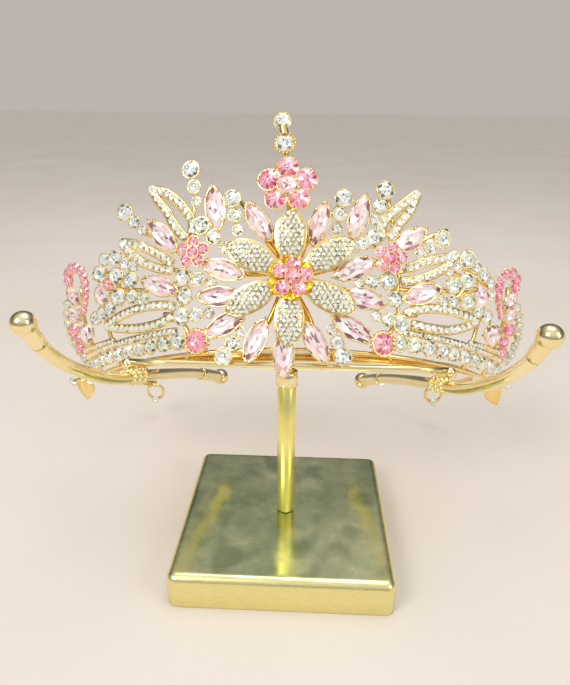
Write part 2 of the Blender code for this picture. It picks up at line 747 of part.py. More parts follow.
def build_single_stones(parts, helpers, gold_pink, clear):
    """The two big pink stones and the two of the finial."""
    for name, u, v in CHATONS:
        item = cut_stone("chaton_" + name, crest_matrix(u, v, STONE_DEPTH), CHATON_RADIUS, parts, 12)
        finish(item, gold_pink, smooth=False)
    lower = crest_matrix(*FINIAL_LOWER, STONE_DEPTH)
    collar = disc("collar", lower, 3.6, 0.0, PLATE_THICKNESS, helpers, 12)
    fuse("finial_lower", [collar, cut_stone("stone", lower, 2.9, helpers, 10)], parts, clear)
    top = crest_matrix(*FINIAL_TOP, STONE_DEPTH)
    neck = crest_wire("neck", [(-2.3, FINIAL_LOWER[1] + 4.0), FINIAL_TOP], 1.2, 1.25, helpers)
    fuse("finial_top", [neck, cut_stone("stone", top, 3.0, helpers, 10)], parts, clear)


def side_place(point, sign):
    """A point given for the left side, moved to the right one where sign is 1."""
    u, v = point
    if sign < 0:
        return u, v
    return -u + HOOK_RIGHT_SHIFT[0], v + HOOK_RIGHT_SHIFT[1]


def build_sides(parts, helpers, clear, pink):
    """The hook and the cluster of stones at each side."""
    for side, sign in (("left", -1), ("right", 1)):
        route = [side_place(point, sign) for point in HOOK_STEM]
        pieces = [crest_wire("cane", route, 0.8, 0.85, helpers, bevel_resolution=0)]
        for u, v in route:
            place = crest_matrix(u, v, STONE_DEPTH)
            pieces.append(cut_stone("stone", place, SMALL, helpers, cupped=False))
        fuse("hook_" + side, pieces, parts, pink)
        chain = [side_place(point, sign) for point in SIDE_CHAIN]
        pieces = [crest_wire("chain", chain, 0.6, STEM_DEPTH, helpers, bevel_resolution=0)]
        for (u, v), radius in zip(chain, SIDE_CHAIN_RADII):
            place = crest_matrix(u, v, STONE_DEPTH)
            pieces.append(cut_stone("stone", place, radius, helpers, cupped=False))
        linked = []
        for place, outer_u, outer_v, inner_u, inner_v in SIDE_SPRAYS:
            if place == side:
                pieces += spray_pieces((outer_u, outer_v), (inner_u, inner_v), helpers)
                linked.append((outer_u, outer_v))
        linked.append(chain[0])
        pieces.append(crest_wire("link", linked, 0.5, STEM_DEPTH, helpers, bevel_resolution=0))
        fuse("cluster_" + side, pieces, parts, clear)


def main():
    """Build the stand, then the tiara from its frame outward."""
    parts, helpers = clear_scene()
    brass = make_material("brass", BRASS, 0.22, 1.0)
    gold = make_material("gold", GOLD, 0.18, 1.0)
    clear = make_material("clear_stones", CLEAR, 0.08, 0.0)
    pale = make_material("pale_pink_stones", PALE_PINK, 0.08, 0.0)
    pink = make_material("pink_stones", PINK, 0.12, 0.0)
    build_base(parts, brass)
    build_post(parts, brass)
    build_crossbar(parts, helpers, brass)
    build_arm(-1, "stand_arm_left", parts, helpers, brass)
    build_arm(1, "stand_arm_right", parts, helpers, brass)
    build_frame(parts, helpers, gold)
    build_petals(parts, clear)
    build_flower("flower_heart", FLOWER_CENTRE, HEART_DEPTH, 2.0, 4.7, 75, parts, helpers, pink)
    build_flower("top_flower", TOP_FLOWER, FLOWER_DEPTH, 3.3, 6.3, 90, parts, helpers, pink)
    for name, u, v in SMALL_FLOWERS:
        build_flower("pink_flower_" + name, (u, v), FLOWER_DEPTH, 1.7, 3.6, 90, parts, helpers, pink)
    build_marquises(parts, pale)
    build_stems(parts, helpers, clear)
    build_halos(parts, helpers, clear)
    build_leaves(parts, helpers, clear)
    build_rows(parts, helpers, clear)
    build_single_stones(parts, helpers, pink, clear)
    build_sides(parts, helpers, clear, pink)


main()
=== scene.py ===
"""The looks of a jewelled tiara on its plain brass display stand.

Everything is in metres with +Z up, in the same frame as the solids. The tiara faces -Y. Its
crest is laid out in crest coordinates, in millimetres: u along its lower edge, positive to +X,
v up the crest and d out of its face.
"""

import logging
import math
from dataclasses import dataclass, field
from enum import Enum

import bpy
import numpy as np
from mathutils import Matrix, Vector

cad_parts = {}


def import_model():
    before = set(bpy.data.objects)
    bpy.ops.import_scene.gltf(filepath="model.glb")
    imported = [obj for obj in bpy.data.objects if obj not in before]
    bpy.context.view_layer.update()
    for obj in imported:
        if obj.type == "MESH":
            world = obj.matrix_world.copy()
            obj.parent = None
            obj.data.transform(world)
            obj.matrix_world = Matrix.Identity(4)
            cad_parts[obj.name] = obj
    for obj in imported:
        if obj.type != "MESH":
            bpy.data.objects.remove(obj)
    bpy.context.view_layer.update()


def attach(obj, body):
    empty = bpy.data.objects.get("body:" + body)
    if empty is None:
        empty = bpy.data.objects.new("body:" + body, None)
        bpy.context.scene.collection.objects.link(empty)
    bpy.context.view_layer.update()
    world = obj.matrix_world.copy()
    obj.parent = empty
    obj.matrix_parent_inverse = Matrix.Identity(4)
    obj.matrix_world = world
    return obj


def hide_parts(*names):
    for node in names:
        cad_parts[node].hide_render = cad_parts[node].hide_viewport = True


LOG = logging.getLogger("tiara")
MM = 0.001
BODY = "root"
SEED = 17
EYE = (6.09, -169.9, 143.3)
AIM = (0.0, 0.02, 0.07)
UP = np.array([0.0, 0.0, 1.0])
BACK = np.array([0.0, 1.0, 0.0])
SIDES = (("left", -1.0), ("right", 1.0))
PER_FACE = ("counts", "slots", "painted_facet_lights", "tints", "smooth")
Array = np.ndarray
Colour = tuple[float, float, float]
Socket = bpy.types.NodeSocket
Material = bpy.types.Material


def unit(vectors: Array) -> Array:
    """Scale vectors to length one along their last axis."""
    return vectors / np.linalg.norm(vectors, axis=-1, keepdims=True)


def added(name: str, data: bpy.types.ID) -> bpy.types.Object:
    """Make an object that holds the data, linked to the scene."""
    item = bpy.data.objects.new(name, data)
    bpy.context.scene.collection.objects.link(item)
    return item


# Meshes


@dataclass
class Shape:
    """Points and faces of a piece, with a material, a tone of painted light, a tint and a shading for
    each face.

    The faces are kept as one run of point numbers and the count of points of each face.
    """

    points: Array
    corners: Array
    counts: Array
    slots: Array
    painted_facet_lights: Array
    tints: Array
    smooth: Array

    @classmethod
    def of(cls, points: Array, faces: list[Array], slot: int = 0, flat_last: int = 0) -> "Shape":
        """Make a shape from points and lists of faces that have the same number of corners each.

        Args:
            points: places, in any array whose last axis is x, y, z.
            faces: arrays of m by k point numbers.
            slot: material number of all faces.
            flat_last: how many of the last faces are flat caps; -1 makes every face flat.

        Returns:
            The shape, with a middle painted light tone and tint everywhere.
        """
        counts = np.concatenate([np.full(len(block), block.shape[1]) for block in faces])
        corners = np.concatenate([block.ravel() for block in faces])
        total = len(counts)
        flat = total if flat_last < 0 else flat_last
        return cls(
            points.reshape(-1, 3).astype(float),
            corners.astype(np.int32),
            counts.astype(np.int32),
            np.full(total, slot, np.int32),
            np.full(total, 0.5),
            np.full(total, 0.5),
            np.arange(total) < total - flat,
        )

    @classmethod
    def join(cls, shapes: list["Shape"]) -> "Shape":
        """Put several shapes into one.

        Args:
            shapes: the shapes, in any order.

        Returns:
            One shape with all their points and faces.
        """
        starts = np.cumsum([0] + [len(shape.points) for shape in shapes[:-1]])
        return cls(
            np.concatenate([shape.points for shape in shapes]),
            np.concatenate([shape.corners + start for shape, start in zip(shapes, starts)]),
            *(np.concatenate([getattr(shape, key) for shape in shapes]) for key in PER_FACE),
        )

    def repeated(self, places: Array) -> "Shape":
        """Copy this shape to many places at once.

        A point p goes to M p for each of the n matrices M.

        Args:
            places: n by 4 by 4 matrices.

        Returns:
            One shape that holds the n copies.
        """
        moved = np.einsum("nij,pj->npi", places[:, :3, :3], self.points) + places[:, None, :3, 3]
        starts = np.arange(len(places))[:, None] * len(self.points)
        return Shape(
            moved.reshape(-1, 3),
            (self.corners[None, :] + starts).ravel().astype(np.int32),
            *(np.tile(getattr(self, key), len(places)) for key in PER_FACE),
        )

    def shaded(self, rng: np.random.Generator, spread: float, stones: int = 1) -> "Shape":
        """Scatter the painted light tones, so that neighbouring facets differ in painted light and
        shade as they do in cut glass.

        Args:
            rng: source of the scatter.
            spread: the most that a painted light tone moves either way.
            stones: number of equal runs of faces that share a tint.

        Returns:
            This shape.
        """
        total = len(self.painted_facet_lights)
        self.painted_facet_lights = np.clip(self.painted_facet_lights + rng.uniform(-spread, spread, total), 0.0, 1.0)
        self.tints = np.repeat(rng.uniform(0.0, 1.0, stones), total // stones)
        return self

    def to_object(self, name: str) -> bpy.types.Object:
        """Make a mesh object at the origin from this shape.

        Args:
            name: name of the object and of its mesh.

        Returns:
            The object, linked to the scene.
        """
        mesh = bpy.data.meshes.new(name)
        mesh.vertices.add(len(self.points))
        mesh.vertices.foreach_set("co", self.points.astype(np.float32).ravel())
        mesh.loops.add(len(self.corners))
        mesh.loops.foreach_set("vertex_index", self.corners)
        mesh.polygons.add(len(self.counts))
        starts = np.concatenate([[0], np.cumsum(self.counts)[:-1]]).astype(np.int32)
        mesh.polygons.foreach_set("loop_start", starts)
        mesh.polygons.foreach_set("loop_total", self.counts)
        mesh.polygons.foreach_set("material_index", self.slots.astype(np.int32))
        mesh.polygons.foreach_set("use_smooth", self.smooth.astype(bool))
        for label, values in (("tone", self.painted_facet_lights), ("tint", self.tints)):
            layer = mesh.attributes.new(label, "FLOAT", "FACE")
            layer.data.foreach_set("value", values.astype(np.float32))
        mesh.update(calc_edges=True)
        return added(name, mesh)


def grid_faces(rows: int, columns: int, closed: bool) -> Array:
    """Quads over a grid of points, counted row by row.

    Args:
        rows, columns: numbers of points.
        closed: join the last column to the first.

    Returns:
        m by 4 point numbers.
    """
    across = columns if closed else columns - 1
    row, column = np.meshgrid(np.arange(rows - 1), np.arange(across), indexing="ij")
    here = row * columns + column
    beside = row * columns + (column + 1) % columns
    return np.stack([here, beside, beside + columns, here + columns], axis=-1).reshape(-1, 4)


def tube_faces(rows: int, columns: int) -> list[Array]:
    """Quads round a closed tube and a flat cap at each end."""
    ring = np.arange(columns)
    return [grid_faces(rows, columns, True), ring[None, ::-1], (rows - 1) * columns + ring[None, :]]


def around(count: int, start: float = 0.0) -> Array:
    """Angles of equal steps round a circle."""
    return start + np.arange(count) * math.tau / count


def revolve(profile: list[tuple[float, float]], sides: int, slot: int = 0) -> Shape:
    """Turn a profile round the Z axis: the point (r, z) goes to (r cos a, r sin a, z).

    Args:
        profile: (radius, height) from the bottom to the top, closed at both ends by a flat face.
        sides: number of steps round.
        slot: material number.

    Returns:
        The turned shape.
    """
    line = np.array(profile)
    angle = around(sides)
    height = np.repeat(line[:, 1:], sides, axis=1)
    points = np.stack([line[:, :1] * np.cos(angle), line[:, :1] * np.sin(angle), height], axis=-1)
    return Shape.of(points, tube_faces(len(line), sides), slot, 2)


def smooth_route(knots: Array, per_span: int) -> Array:
    """A smooth run of points through the given ones, by the Catmull-Rom rule.

    Between the knots b and c, with neighbours a and d, the point at t is half of
    2b + (c - a) t + (2a - 5b + 4c - d) t squared + (3b - a - 3c + d) t cubed.

    Args:
        knots: k by n values.
        per_span: points from one knot to the next.

    Returns:
        (k - 1) per_span + 1 rows of n values.
    """
    padded = np.concatenate([[2 * knots[0] - knots[1]], knots, [2 * knots[-1] - knots[-2]]])
    travel = np.linspace(0.0, len(knots) - 1, (len(knots) - 1) * per_span + 1)
    span = np.minimum(travel.astype(int), len(knots) - 2)
    t = (travel - span)[:, None]
    a, b, c, d = (padded[span + step] for step in range(4))
    curve = 2 * b + (c - a) * t + (2 * a - 5 * b + 4 * c - d) * t**2
    return 0.5 * (curve + (3 * b - a - 3 * c + d) * t**3)


def ways(tangent: Array, up: Array) -> tuple[Array, Array]:
    """Directions across a path and upright on it, from its tangents and a way up."""
    tangent = unit(tangent)
    across = unit(np.cross(tangent, np.broadcast_to(up, tangent.shape)))
    return across, np.cross(across, tangent)


def sweep(
    path: Array,
    up: Array,
    width: Array | float,
    height: Array | float,
    sides: int,
    slot: int = 0,
) -> Shape:
    """Carry an oval along a path; its height stands along up and its width lies across the path.

    A point is path + height cos(a) up + width sin(a) across, where across is tangent x up.

    Args:
        path: n by 3 places.
        up: one direction, or n of them.
        width, height: half sizes of the oval, one or n values.
        sides: corners of the oval.
        slot: material number.

    Returns:
        A closed tube with flat ends.
    """
    across, upright = ways(np.gradient(path, axis=0), up)
    angle = around(sides)[None, :, None]
    wide = np.broadcast_to(width, len(path))[:, None, None]
    high = np.broadcast_to(height, len(path))[:, None, None]
    points = (
        path[:, None, :]
        + high * np.cos(angle) * upright[:, None, :]
        + wide * np.sin(angle) * across[:, None, :]
    )
    return Shape.of(points, tube_faces(len(path), sides), slot, 2)


def rod(path: Array, up: Array, radius: Array | float, sides: int) -> Shape:
    """A round rod along a path, with its radius in millimetres."""
    thick = np.asarray(radius) * MM
    return sweep(path, up, thick, thick, sides)


def ring_of_wire(path: Array, up: Array, radius: float, sides: int) -> Shape:
    """Carry a circle round a closed path.

    Args:
        path: n by 3 places, the last one joined to the first.
        up: one direction that the path never runs along.
        radius: of the wire.
        sides: corners of the circle.

    Returns:
        A closed ring.
    """
    across, upright = ways(np.roll(path, -1, axis=0) - np.roll(path, 1, axis=0), up)
    angle = around(sides)[None, :, None]
    offset = np.cos(angle) * upright[:, None, :] + np.sin(angle) * across[:, None, :]
    faces = grid_faces(len(path) + 1, sides, True) % (len(path) * sides)
    return Shape.of(path[:, None, :] + radius * offset, [faces])


def spaced(line: Array, pitch: float) -> Array:
    """Points at equal steps along a line, as near to a pitch as the length allows.

    Args:
        line: n by k values.
        pitch: the wished step.

    Returns:
        m by k values, from the first point to the last.
    """
    travel = np.concatenate([[0.0], np.cumsum(np.linalg.norm(np.diff(line, axis=0), axis=1))])
    spots = np.linspace(0.0, travel[-1], max(round(travel[-1] / pitch), 1) + 1)
    return np.stack([np.interp(spots, travel, column) for column in line.T], axis=-1)


def ball(radius: float, sides: int, rings: int, squash: float = 1.0) -> Shape:
    """A ball round the origin, made as a revolved half circle with tiny flat poles."""
    angle = np.linspace(-math.pi / 2 + 0.05, math.pi / 2 - 0.05, rings)
    profile = np.stack([radius * np.cos(angle), radius * squash * np.sin(angle)], axis=-1)
    return revolve(profile.tolist(), sides)


def at(points: Array, scale: Array | float = 1.0) -> Array:
    """Matrices that scale a shape and move it to each point.

    Args:
        points: one place, or n by 3.
        scale: one factor, or n.

    Returns:
        n by 4 by 4 matrices.
    """
    points = np.atleast_2d(points)
    matrices = np.zeros((len(points), 4, 4))
    matrices[:, [0, 1, 2], [0, 1, 2]] = np.broadcast_to(scale, len(points))[:, None]
    matrices[:, :3, 3] = points
    matrices[:, 3, 3] = 1.0
    return matrices


# Materials


class Nodes:
    """A node tree, with short calls to add and join nodes."""

    def __init__(self, tree: bpy.types.NodeTree) -> None:
        """Take a material's or a world's tree."""
        self.tree = tree

    def node(self, kind: str, **inputs: object) -> bpy.types.Node:
        """Add a node.

        Args:
            kind: type of the node.
            inputs: values of its inputs by name, with _ in place of a space.

        Returns:
            The node.
        """
        made = self.tree.nodes.new(kind)
        for key, value in inputs.items():
            made.inputs[key.replace("_", " ")].default_value = value
        return made

    def join(self, source: Socket, target: Socket) -> None:
        """Link two sockets."""
        self.tree.links.new(source, target)

    def ramp(self, value: Socket, stops: tuple) -> Socket:
        """Turn a value into a colour.

        Args:
            value: socket of a number.
            stops: (place, colour) in rising order.

        Returns:
            The colour's socket.
        """
        made = self.node("ShaderNodeValToRGB")
        ramp = made.color_ramp
        while len(ramp.elements) < len(stops):
            ramp.elements.new(0.5)
        for element, (place, colour) in zip(ramp.elements, stops):
            element.position = place
            element.color = (*colour, 1.0)
        self.join(value, made.inputs["Fac"])
        return made.outputs["Color"]

    def plain(self, colour: Colour) -> Socket:
        """One colour."""
        made = self.node("ShaderNodeRGB")
        made.outputs[0].default_value = (*colour, 1.0)
        return made.outputs[0]

    def span(self, value: Socket, source: tuple[float, float], target: tuple[float, float]) -> Socket:
        """Stretch a value from one range to another, held at its ends.

        Args:
            value: socket of a number.
            source, target: the two ranges.

        Returns:
            The new value's socket.
        """
        made = self.node("ShaderNodeMapRange")
        for key, number in zip(("From Min", "From Max", "To Min", "To Max"), (*source, *target)):
            made.inputs[key].default_value = number
        self.join(value, made.inputs["Value"])
        return made.outputs["Result"]

    def mix(self, share: Socket | float, first: Socket, second: Socket, how: str = "MIX") -> Socket:
        """Blend two colours.

        Args:
            share: a number, or a socket.
            first, second: colour sockets.
            how: blending mode.

        Returns:
            The blended colour's socket.
        """
        made = self.tree.nodes.new("ShaderNodeMix")
        made.data_type = "RGBA"
        made.blend_type = how
        if isinstance(share, Socket):
            self.join(share, made.inputs[0])
        else:
            made.inputs[0].default_value = share
        self.join(first, made.inputs[6])
        self.join(second, made.inputs[7])
        return made.outputs[2]


class Graph(Nodes):
    """A material with a Principled shader, and its node tree."""

    def __init__(self, name: str) -> None:
        """Make the material."""
        self.material = bpy.data.materials.new(name)
        self.material.use_nodes = True
        super().__init__(self.material.node_tree)
        self.shader = self.tree.nodes["Principled BSDF"]

    def painted(self, colour: Socket, **values: float) -> Material:
        """Give the shader its colour and its plain values.

        Args:
            colour: socket of the base colour.
            values: of other inputs by name, with _ in place of a space.

        Returns:
            The finished material.
        """
        self.join(colour, self.shader.inputs["Base Color"])
        for key, value in values.items():
            self.shader.inputs[key.replace("_", " ")].default_value = value
        return self.material

    def place(self) -> Socket:
        """The object's own coordinates."""
        return self.node("ShaderNodeTexCoord").outputs["Object"]

    def noise(
        self,
        scale: float,
        detail: float = 2.0,
        roughness: float = 0.5,
        stretch: tuple[float, float, float] = (1.0, 1.0, 1.0),
    ) -> Socket:
        """Noise in the object's coordinates.

        Args:
            scale, detail, roughness: of the noise.
            stretch: factors on x, y and z before the noise is read.

        Returns:
            A value from 0 to 1.
        """
        turn = self.node("ShaderNodeMapping", Scale=stretch)
        self.join(self.place(), turn.inputs["Vector"])
        made = self.node("ShaderNodeTexNoise", Scale=scale, Detail=detail, Roughness=roughness)
        self.join(turn.outputs["Vector"], made.inputs["Vector"])
        return made.outputs["Fac"]

    def attribute(self, name: str) -> Socket:
        """A value stored on the faces."""
        made = self.node("ShaderNodeAttribute")
        made.attribute_name = name
        return made.outputs["Fac"]

    def bump(self, height: Socket, strength: float, distance: float) -> None:
        """Raise the surface by a height pattern."""
        made = self.node("ShaderNodeBump", Strength=strength, Distance=distance)
        self.join(height, made.inputs["Height"])
        self.join(made.outputs["Normal"], self.shader.inputs["Normal"])


@dataclass(frozen=True)
class Metal:
    """A plated or polished metal whose colour and gloss vary a little from place to place."""

    name: str
    light: Colour
    dark: Colour
    gloss: tuple[float, float]
    patch_scale: float
    grain_scale: float
    grain: float
    stretch: tuple[float, float, float] = (1.0, 1.0, 1.0)

    def make(self) -> Material:
        """Build the material: two noises for colour and gloss, and a fine grain as bump."""
        graph = Graph(self.name)
        patches = graph.noise(self.patch_scale, detail=3.0, roughness=0.6)
        colour = graph.ramp(patches, ((0.32, self.dark), (0.66, self.light)))
        smear = graph.noise(self.patch_scale * 2.3, detail=4.0, roughness=0.65)
        graph.join(graph.span(smear, (0.0, 1.0), self.gloss), graph.shader.inputs["Roughness"])
        grain = graph.noise(self.grain_scale, roughness=0.7, stretch=self.stretch)
        graph.bump(grain, self.grain, distance=0.00002)
        return graph.painted(colour, Metallic=1.0)


@dataclass(frozen=True)
class SlabBrass:
    """The slab's brass: a mirror top with a painted olive reflection of a dark wall, smudges and dust,
    and satin sides with a level grain.
    """

    # The top's colour between smudges is the brass's colour darkened to olive: a painted reflection of
    # the dark wall.
    clean_with_painted_reflection: Colour = (0.56, 0.66, 0.34)
    smudge: Colour = (1.0, 1.0, 0.58)
    print_mark: Colour = (0.30, 0.38, 0.20)
    speck: Colour = (1.0, 1.0, 0.88)
    side_light: Colour = (0.90, 0.84, 0.42)
    side_dark: Colour = (0.84, 0.73, 0.30)
    # The painted reflection covers only the flat top; the rounded top edge keeps the paler side colour.
    sides_end: float = 0.0110
    top_start: float = 0.01145

    def make(self) -> Material:
        """Build the material; the object's height tells the top, with its painted reflection, from the
        sides.
        """
        graph = Graph("slab_brass")
        split = graph.node("ShaderNodeSeparateXYZ")
        graph.join(graph.place(), split.inputs[0])
        top = graph.span(split.outputs["Z"], (self.sides_end, self.top_start), (0.0, 1.0))
        smears = graph.noise(46.0, detail=6.0, roughness=0.62)
        wiped = graph.ramp(smears, ((0.36, self.clean_with_painted_reflection), (0.66, self.smudge)))
        fingers = graph.noise(80.0, detail=1.5, stretch=(1.0, 0.8, 1.0))
        prints = graph.span(fingers, (0.54, 0.68), (0.0, 0.6))
        marked = graph.mix(prints, wiped, graph.plain(self.print_mark))
        specks = graph.span(graph.noise(1500.0, detail=1.0, roughness=0.5), (0.70, 0.76), (0.0, 0.9))
        top_colour = graph.mix(specks, marked, graph.plain(self.speck))
        grain = graph.noise(260.0, detail=4.0, roughness=0.6, stretch=(1.0, 1.0, 9.0))
        side_colour = graph.ramp(grain, ((0.3, self.side_dark), (0.7, self.side_light)))
        # Painted reflection: the flat top takes the dark olive colour and the sides the paler brass.
        colour = graph.mix(top, side_colour, top_colour)
        sides_shine = graph.span(grain, (0.2, 0.8), (0.24, 0.36))
        top_shine = graph.span(smears, (0.35, 0.7), (0.11, 0.3))
        graph.join(graph.mix(top, sides_shine, top_shine), graph.shader.inputs["Roughness"])
        dust = graph.noise(2400.0, detail=2.0, roughness=0.5)
        graph.bump(graph.span(dust, (0.66, 0.8), (0.0, 1.0)), strength=0.5, distance=0.00006)
        return graph.painted(colour, Metallic=1.0)


@dataclass(frozen=True)
class Glass:
    """Foil-backed cut glass: each facet has its own tone of painted light, light for a painted glint
    and dark for a painted reflection of a dark room, and each stone its own slight tint.
    """

    name: str
    painted_facet_lights: tuple
    tints: tuple
    tint_share: float
    metallic: float
    roughness: float

    def make(self) -> Material:
        """Build the material from the painted light tone and the tint stored on the facets."""
        graph = Graph(self.name)
        tone = graph.ramp(graph.attribute("tone"), self.painted_facet_lights)
        tint = graph.ramp(graph.attribute("tint"), self.tints)
        colour = graph.mix(self.tint_share, tone, tint, "MULTIPLY")
        graph.bump(graph.noise(900.0, roughness=0.6), strength=0.2, distance=0.00004)
        return graph.painted(
            colour,
            Metallic=self.metallic,
            Roughness=self.roughness,
            Coat_Weight=1.0,
            Coat_Roughness=0.03,
        )


GOLD = Metal("gold_plate", (1.0, 0.84, 0.42), (1.0, 0.72, 0.26), (0.12, 0.3), 160.0, 2600.0, 0.3)
# Gold darkened to a deep orange: painted shade, for the hoop's strip between its edge wires and the
# twigs behind the stones.
PAINTED_SHADE_GOLD = Metal(
    "painted_shade_gold", (1.0, 0.66, 0.16), (0.92, 0.44, 0.06), (0.16, 0.34), 240.0, 2600.0, 0.4
)
YELLOW_GOLD = Metal(
    "yellow_gold", (1.0, 0.74, 0.09), (0.98, 0.42, 0.03), (0.2, 0.4), 260.0, 2600.0, 0.5
)
BRASS = Metal(
    "polished_brass", (1.0, 0.88, 0.54), (0.95, 0.79, 0.39), (0.08, 0.2), 70.0, 1400.0, 0.12
)
DRAWN_GRAIN = (1.0, 1.0, 0.05)
POST_BRASS = Metal(
    "drawn_brass", (1.0, 0.92, 0.36), (0.95, 0.82, 0.24), (0.24, 0.38), 90.0, 1800.0, 0.5, DRAWN_GRAIN
)

RAINBOW = (
    (0.0, (0.88, 0.97, 0.80)), (0.3, (0.98, 1.0, 0.90)), (0.55, (1.0, 0.98, 0.94)),
    (0.8, (0.90, 0.98, 1.0)), (1.0, (0.98, 0.93, 0.96)),
)
# The tone ramps below paint light and shade on the facets: dark stops are painted reflections of a dark
# room and white stops painted glints; the pink hues and the tints are the glass's own colour.
CLEAR = Glass(
    "clear_glass",
    (
        (0.0, (0.04, 0.05, 0.04)), (0.2, (0.20, 0.22, 0.18)), (0.34, (0.62, 0.65, 0.57)),
        (0.56, (0.92, 0.95, 0.90)), (1.0, (1.0, 1.0, 1.0)),
    ),
    RAINBOW,
    0.7,
    0.3,
    0.07,
)
PAVE = Glass(
    "pave_glass",
    (
        (0.0, (0.18, 0.18, 0.13)), (0.26, (0.54, 0.54, 0.44)), (0.46, (0.88, 0.89, 0.80)),
        (1.0, (1.0, 1.0, 0.98)),
    ),
    RAINBOW,
    0.6,
    0.15,
    0.1,
)
PALE_PINK = Glass(
    "pale_pink_glass",
    (
        (0.0, (0.14, 0.06, 0.07)), (0.2, (0.44, 0.24, 0.26)), (0.38, (0.88, 0.56, 0.59)),
        (0.58, (1.0, 0.83, 0.83)), (0.8, (1.0, 0.99, 0.98)),
    ),
    ((0.0, (1.0, 0.90, 0.86)), (0.5, (1.0, 0.95, 0.96)), (1.0, (1.0, 0.90, 0.92))),
    0.8,
    0.25,
    0.06,
)
PINK = Glass(
    "pink_glass",
    (
        (0.0, (0.34, 0.03, 0.09)), (0.22, (0.72, 0.13, 0.24)), (0.46, (0.95, 0.30, 0.40)),
        (0.72, (1.0, 0.50, 0.60)), (1.0, (1.0, 0.84, 0.90)),
    ),
    ((0.0, (1.0, 0.90, 0.80)), (0.5, (1.0, 0.96, 0.94)), (1.0, (0.98, 0.88, 1.0))),
    0.8,
    0.2,
    0.09,
)


@dataclass(frozen=True)
class Finishes:
    """The materials of the whole object."""

    gold: Material
    # gold darkened to its painted shade colour
    gold_in_painted_shade: Material
    yellow: Material
    clear: Material
    pave: Material
    pale: Material
    pink: Material

    @classmethod
    def mixed(cls) -> "Finishes":
        """Make all of them, in the order of the fields."""
        finishes = (GOLD, PAINTED_SHADE_GOLD, YELLOW_GOLD, CLEAR, PAVE, PALE_PINK, PINK)
        return cls(*(finish.make() for finish in finishes))


# The crest


